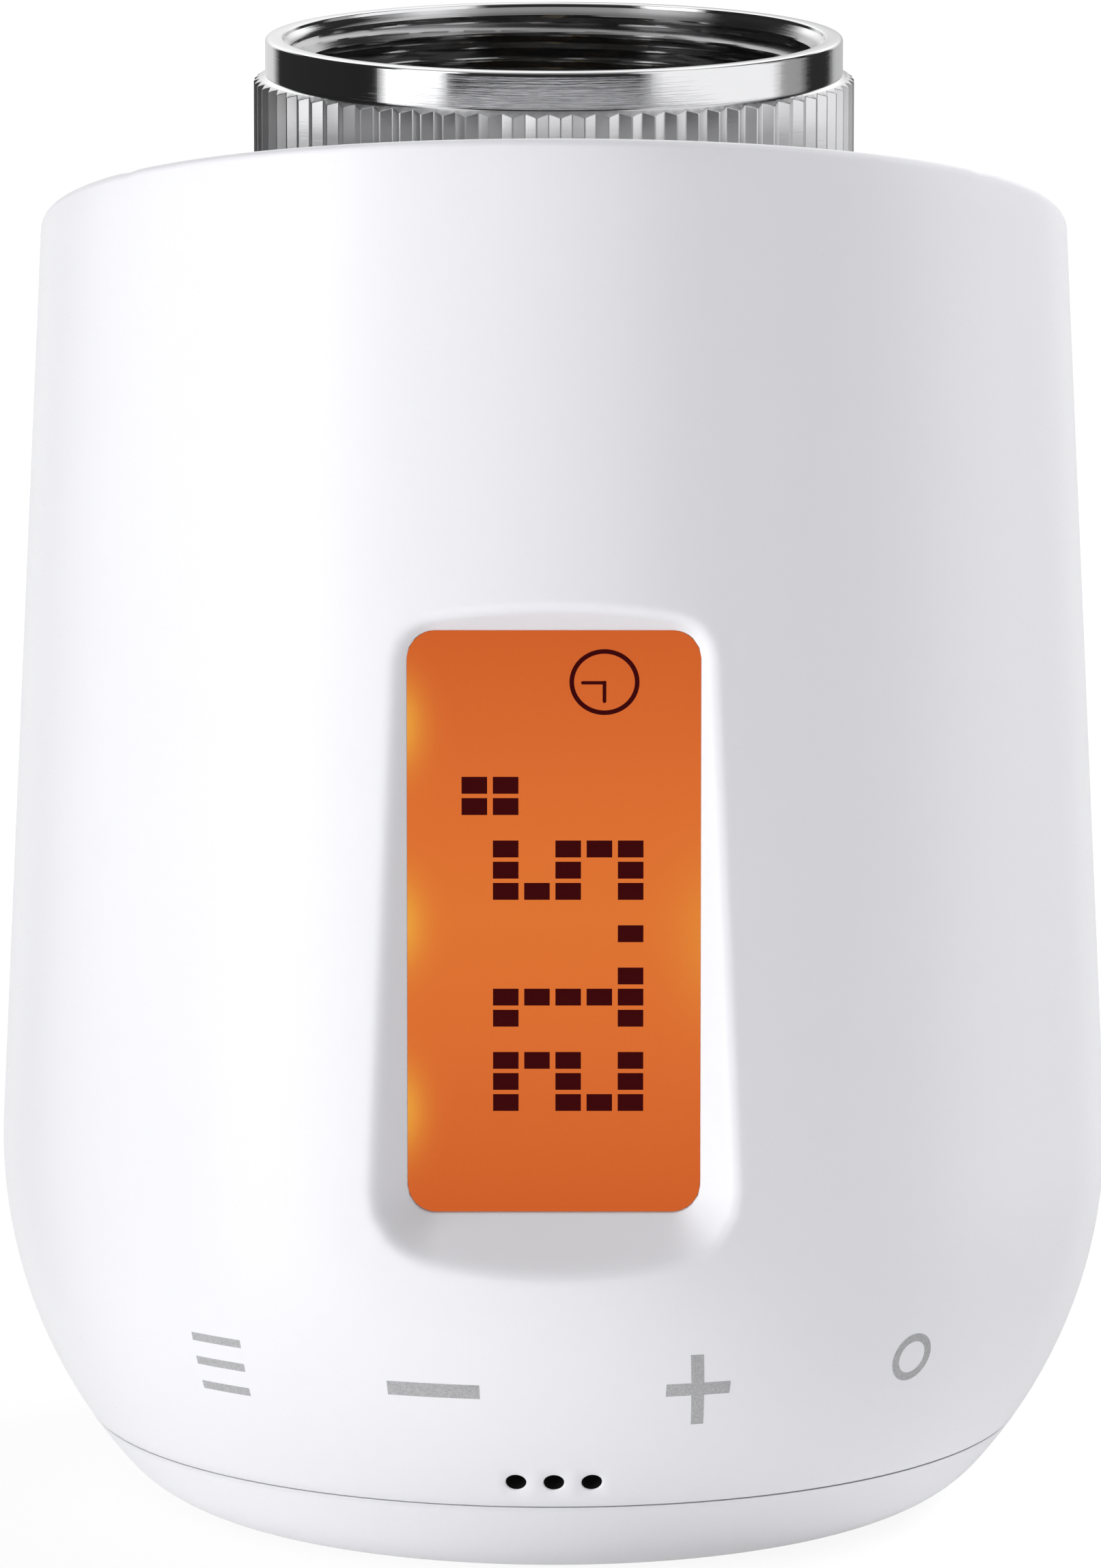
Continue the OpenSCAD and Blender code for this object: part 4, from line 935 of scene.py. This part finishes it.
def lit_glass():
    """Display glass lit from behind: deep orange, lighter in the middle of its height.

    Warm spots show where light comes in at its edges: exp(-(dx^2 + dz^2)), each of dx and dz
    being a distance in the spot's own width and height.
    """
    m, b = new_material("lit_display")
    spot = b.place()
    x, _, z = b.split(spot)
    mid_z, half = 0.0388, 0.0165
    from_middle = b.math("DIVIDE", b.math("ABSOLUTE", b.math("SUBTRACT", z, mid_z)), half)
    base = b.ramp(from_middle, [(0.0, (0.79, 0.190, 0.034)), (0.45, (0.76, 0.165, 0.032)),
                                (1.0, (0.67, 0.125, 0.025))])

    def glow(x0, z0, wide, tall):
        dx = b.math("DIVIDE", b.math("SUBTRACT", x, x0), wide)
        dz = b.math("DIVIDE", b.math("SUBTRACT", z, z0), tall)
        far = b.math("ADD", b.math("MULTIPLY", dx, dx), b.math("MULTIPLY", dz, dz))
        return b.math("POWER", 2.718, b.math("MULTIPLY", far, -1.0))

    upper, middle, lower = (glow(-0.0088, z0, 0.0014, 0.0024) for z0 in (0.0497, 0.0384, 0.0278))
    right = b.math("MULTIPLY", glow(0.0092, 0.0376, 0.0022, 0.0040), 0.36)
    spots = b.math("ADD", b.math("ADD", upper, middle), b.math("ADD", lower, right))
    colour = b.mix(spots, base, (0.92, 0.42, 0.055, 1))
    weave = b.add("ShaderNodeTexNoise", Vector=spot, Scale=4000.0, Detail=2.0)
    tone = b.math("ADD", b.swing(weave, 0.05), 1.0)
    b.coat(Base_Color=(0.02, 0.006, 0.002, 1), Roughness=0.3, Specular_IOR_Level=0.0,
           Emission_Color=b.vector("SCALE", colour, Scale=tone), Emission_Strength=1.0)
    return m


def clear_pane():
    """Clear moulded window with a very faint waviness."""
    m, b = new_material("clear_pane")
    wave = b.add("ShaderNodeTexNoise", Vector=b.place(), Scale=60.0, Detail=1.0)
    bump = b.add("ShaderNodeBump", Strength=0.02, Distance=0.00002, Height=wave.outputs[0])
    b.coat(Base_Color=rgba(0.99), Roughness=0.02, IOR=1.49, Transmission_Weight=1.0, Normal=bump)
    return m


def cell_wrap(node):
    """Battery cell: a dark blue wrap that turns in over the ends, round bare plated metal."""
    m, b = new_material("wrap_of_" + node)
    wrap_r, blue, bare_tone = 0.0062, (0.03, 0.10, 0.28, 1), (0.62, 0.61, 0.60, 1)
    low, high = box_mm(node)
    mid_x, mid_y = ((low[k] + high[k]) / 2 * MM for k in (0, 1))
    axis = b.add("ShaderNodeCombineXYZ", i0=mid_x, i1=mid_y, i2=0.0)
    bare = b.math("LESS_THAN", b.off_axis(b.vector("SUBTRACT", b.place(), i1=axis)), wrap_r)
    skin = b.add("ShaderNodeGroup", {"node_tree": MOULDED}, Roughness=0.25,
                 Tone=b.mix(bare, blue, bare_tone))
    b.coat(skin, Metallic=bare)
    return m


def nut_chrome():
    """Chrome outside, bright on the ring and satin on the knurl, and darker bare metal inside."""
    m, b = new_material("nut_chrome")
    bare_tone, chrome_tone = (0.34, 0.34, 0.345, 1), (0.74, 0.74, 0.75, 1)
    bare_rough, satin_rough = 0.12, 0.28
    reach = b.off_axis(b.place())
    plated = b.ease(reach, low=0.01505, high=0.01535, start=0.0, end=1.0)
    satin = b.ease(reach, low=0.01672, high=0.01688, start=0.0, end=satin_rough)
    tone = b.mix(plated, bare_tone, chrome_tone)
    marks = b.add("ShaderNodeGroup", {"node_tree": TURNED}, Tone=tone, Lines=7500.0, Relief=0.45,
                  Film=0.05, Roughness=0.07)
    more = b.math("MULTIPLY_ADD", b.math("SUBTRACT", 1.0, plated), bare_rough, satin)
    b.coat(marks, Metallic=1.0, Roughness=b.math("ADD", more, marks.outputs["Roughness"]))
    return m


def white_gloss(name):
    return plastic(name, (0.86, 0.86, 0.885), mottle=0.012, relief=0.03)


def white_with_painted_bore_shade():
    """White gloss of the housing, with painted shade that turns it near black inside the sensor
    bores.
    """
    m = white_gloss("white_gloss_painted_bore_shade")
    tree = m.node_tree
    base = next(node for node in tree.nodes if node.type == "BSDF_PRINCIPLED").inputs["Base Color"]
    skin = base.links[0].from_socket
    b = Bench(tree, fresh=False)
    x, y, z = b.split(b.place())
    # Depth below the large arc of the belly
    out = b.math("SQRT", b.math("MULTIPLY_ADD", x, x, b.math("MULTIPLY", y, y)))
    out = b.math("SUBTRACT", out, BELLY_C * MM)
    low = b.math("SUBTRACT", z, BELLY_Z * MM)
    reach = b.math("SQRT", b.math("MULTIPLY_ADD", out, out, b.math("MULTIPLY", low, low)))
    # Painted shade starts this deep in the wall
    deep = b.math("GREATER_THAN", b.math("SUBTRACT", BELLY_R * MM, reach), BORE_PAINTED_SHADE_DEPTH * MM)
    # The band in front that holds the three bores: half its height and half its width
    half_tall, half_wide = 0.0013, 0.0036
    near = b.math("COMPARE", z, BORE_Z * MM, half_tall)
    front = b.math("MULTIPLY", b.math("COMPARE", x, 0.0, half_wide), b.math("LESS_THAN", y, 0.0))
    # Mask of the painted shade: deep in the wall, within the band of the bores
    inside = b.math("MULTIPLY", deep, b.math("MULTIPLY", near, front))
    # Painted shade: near black colour in the bores in place of the lit white
    tree.links.new(b.mix(inside, skin, rgba(0.012)), base)
    return m


# ---------------------------------------------------------------- pieces and finishes

STEEL = metal("plated_steel", (0.72, 0.72, 0.71), 0.3)

housing_shell(white_with_painted_bore_shade())
end_cap_shell(white_gloss("white_gloss"))
top_cover_plate(plastic("cover_satin", (0.40, 0.40, 0.41), 0.6, relief=0.15,
                        Specular_IOR_Level=0.02))
union_nut_metal(nut_chrome())
# Painted light: the display marks glow faintly in their dark red, which sets their tone whatever
# light reaches them behind the glass
display_marks(plastic("mark_maroon_painted_glow", (0.012, 0.001, 0.001), 0.5, Specular_IOR_Level=0.0,
                      Emission_Color=(0.042, 0.0008, 0.0016, 1), Emission_Strength=1.0))
touch_marks(plastic("print_grey", (0.42, 0.42, 0.43), 0.5, mottle=0.25, speckle=0.9))
cap_spring_wires(STEEL)

BRASS, ACETAL, GEAR_TONE = (0.78, 0.55, 0.22), (0.82, 0.81, 0.78), (0.80, 0.76, 0.66)
CHASSIS = {"tone": (0.16, 0.17, 0.19), "roughness": 0.5, "mottle": 0.06, "relief": 0.2}
NODE_FINISH = {
    "lcd_panel": lit_glass(),
    "window_lens": clear_pane(),
    "light_guide": plastic("guide_frost", (0.9, 0.9, 0.86), 0.4),
    "backlight_leds": plastic("led_amber", (0.95, 0.6, 0.15), 0.2),
    "display_frame": plastic("frame_black", 0.03, 0.5, mottle=0.1),
    "zebra_strips": plastic("strip_rubber", (0.45, 0.2, 0.22), 0.7, mottle=0.3),
    "circuit_board": plastic("board_green", (0.02, 0.16, 0.07), 0.3, mottle=0.5),
    "controller_chip": plastic("chip_black", 0.02, 0.5),
    "board_parts": metal("tinned_parts", 0.6, 0.35),
    "touch_pads": plastic("foam_dark", (0.04, 0.04, 0.045), 0.9, mottle=0.6),
    "temperature_sensor": plastic("bead_black", 0.02, 0.25),
    "chassis": plastic("chassis_grey", **CHASSIS),
    "gearbox_cover": plastic("chassis_plate", **CHASSIS),
    "battery_a": cell_wrap("battery_a"),
    "battery_b": cell_wrap("battery_b"),
    "plunger_guide": plastic("acetal_white", ACETAL, 0.35),
    "slip_washer": plastic("acetal_washer", ACETAL, 0.35),
    "gear_1": plastic("acetal_gear", GEAR_TONE, 0.4),
    "gear_2": plastic("acetal_gear_2", GEAR_TONE, 0.4),
    "gear_3": plastic("acetal_gear_3", GEAR_TONE, 0.4),
    "spindle": metal("spindle_brass", BRASS, 0.25),
    "plunger": metal("plunger_brass", BRASS, 0.22),
    "motor_pinion": metal("pinion_brass", BRASS, 0.25),
    "mount_collar": metal("collar_nickel", (0.68, 0.66, 0.62), 0.22),
}
for node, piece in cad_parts.items():
    finish = NODE_FINISH.get(node, STEEL)
    for held in piece.material_slots:
        held.material = finish
    if not piece.material_slots:
        piece.data.materials.append(finish)
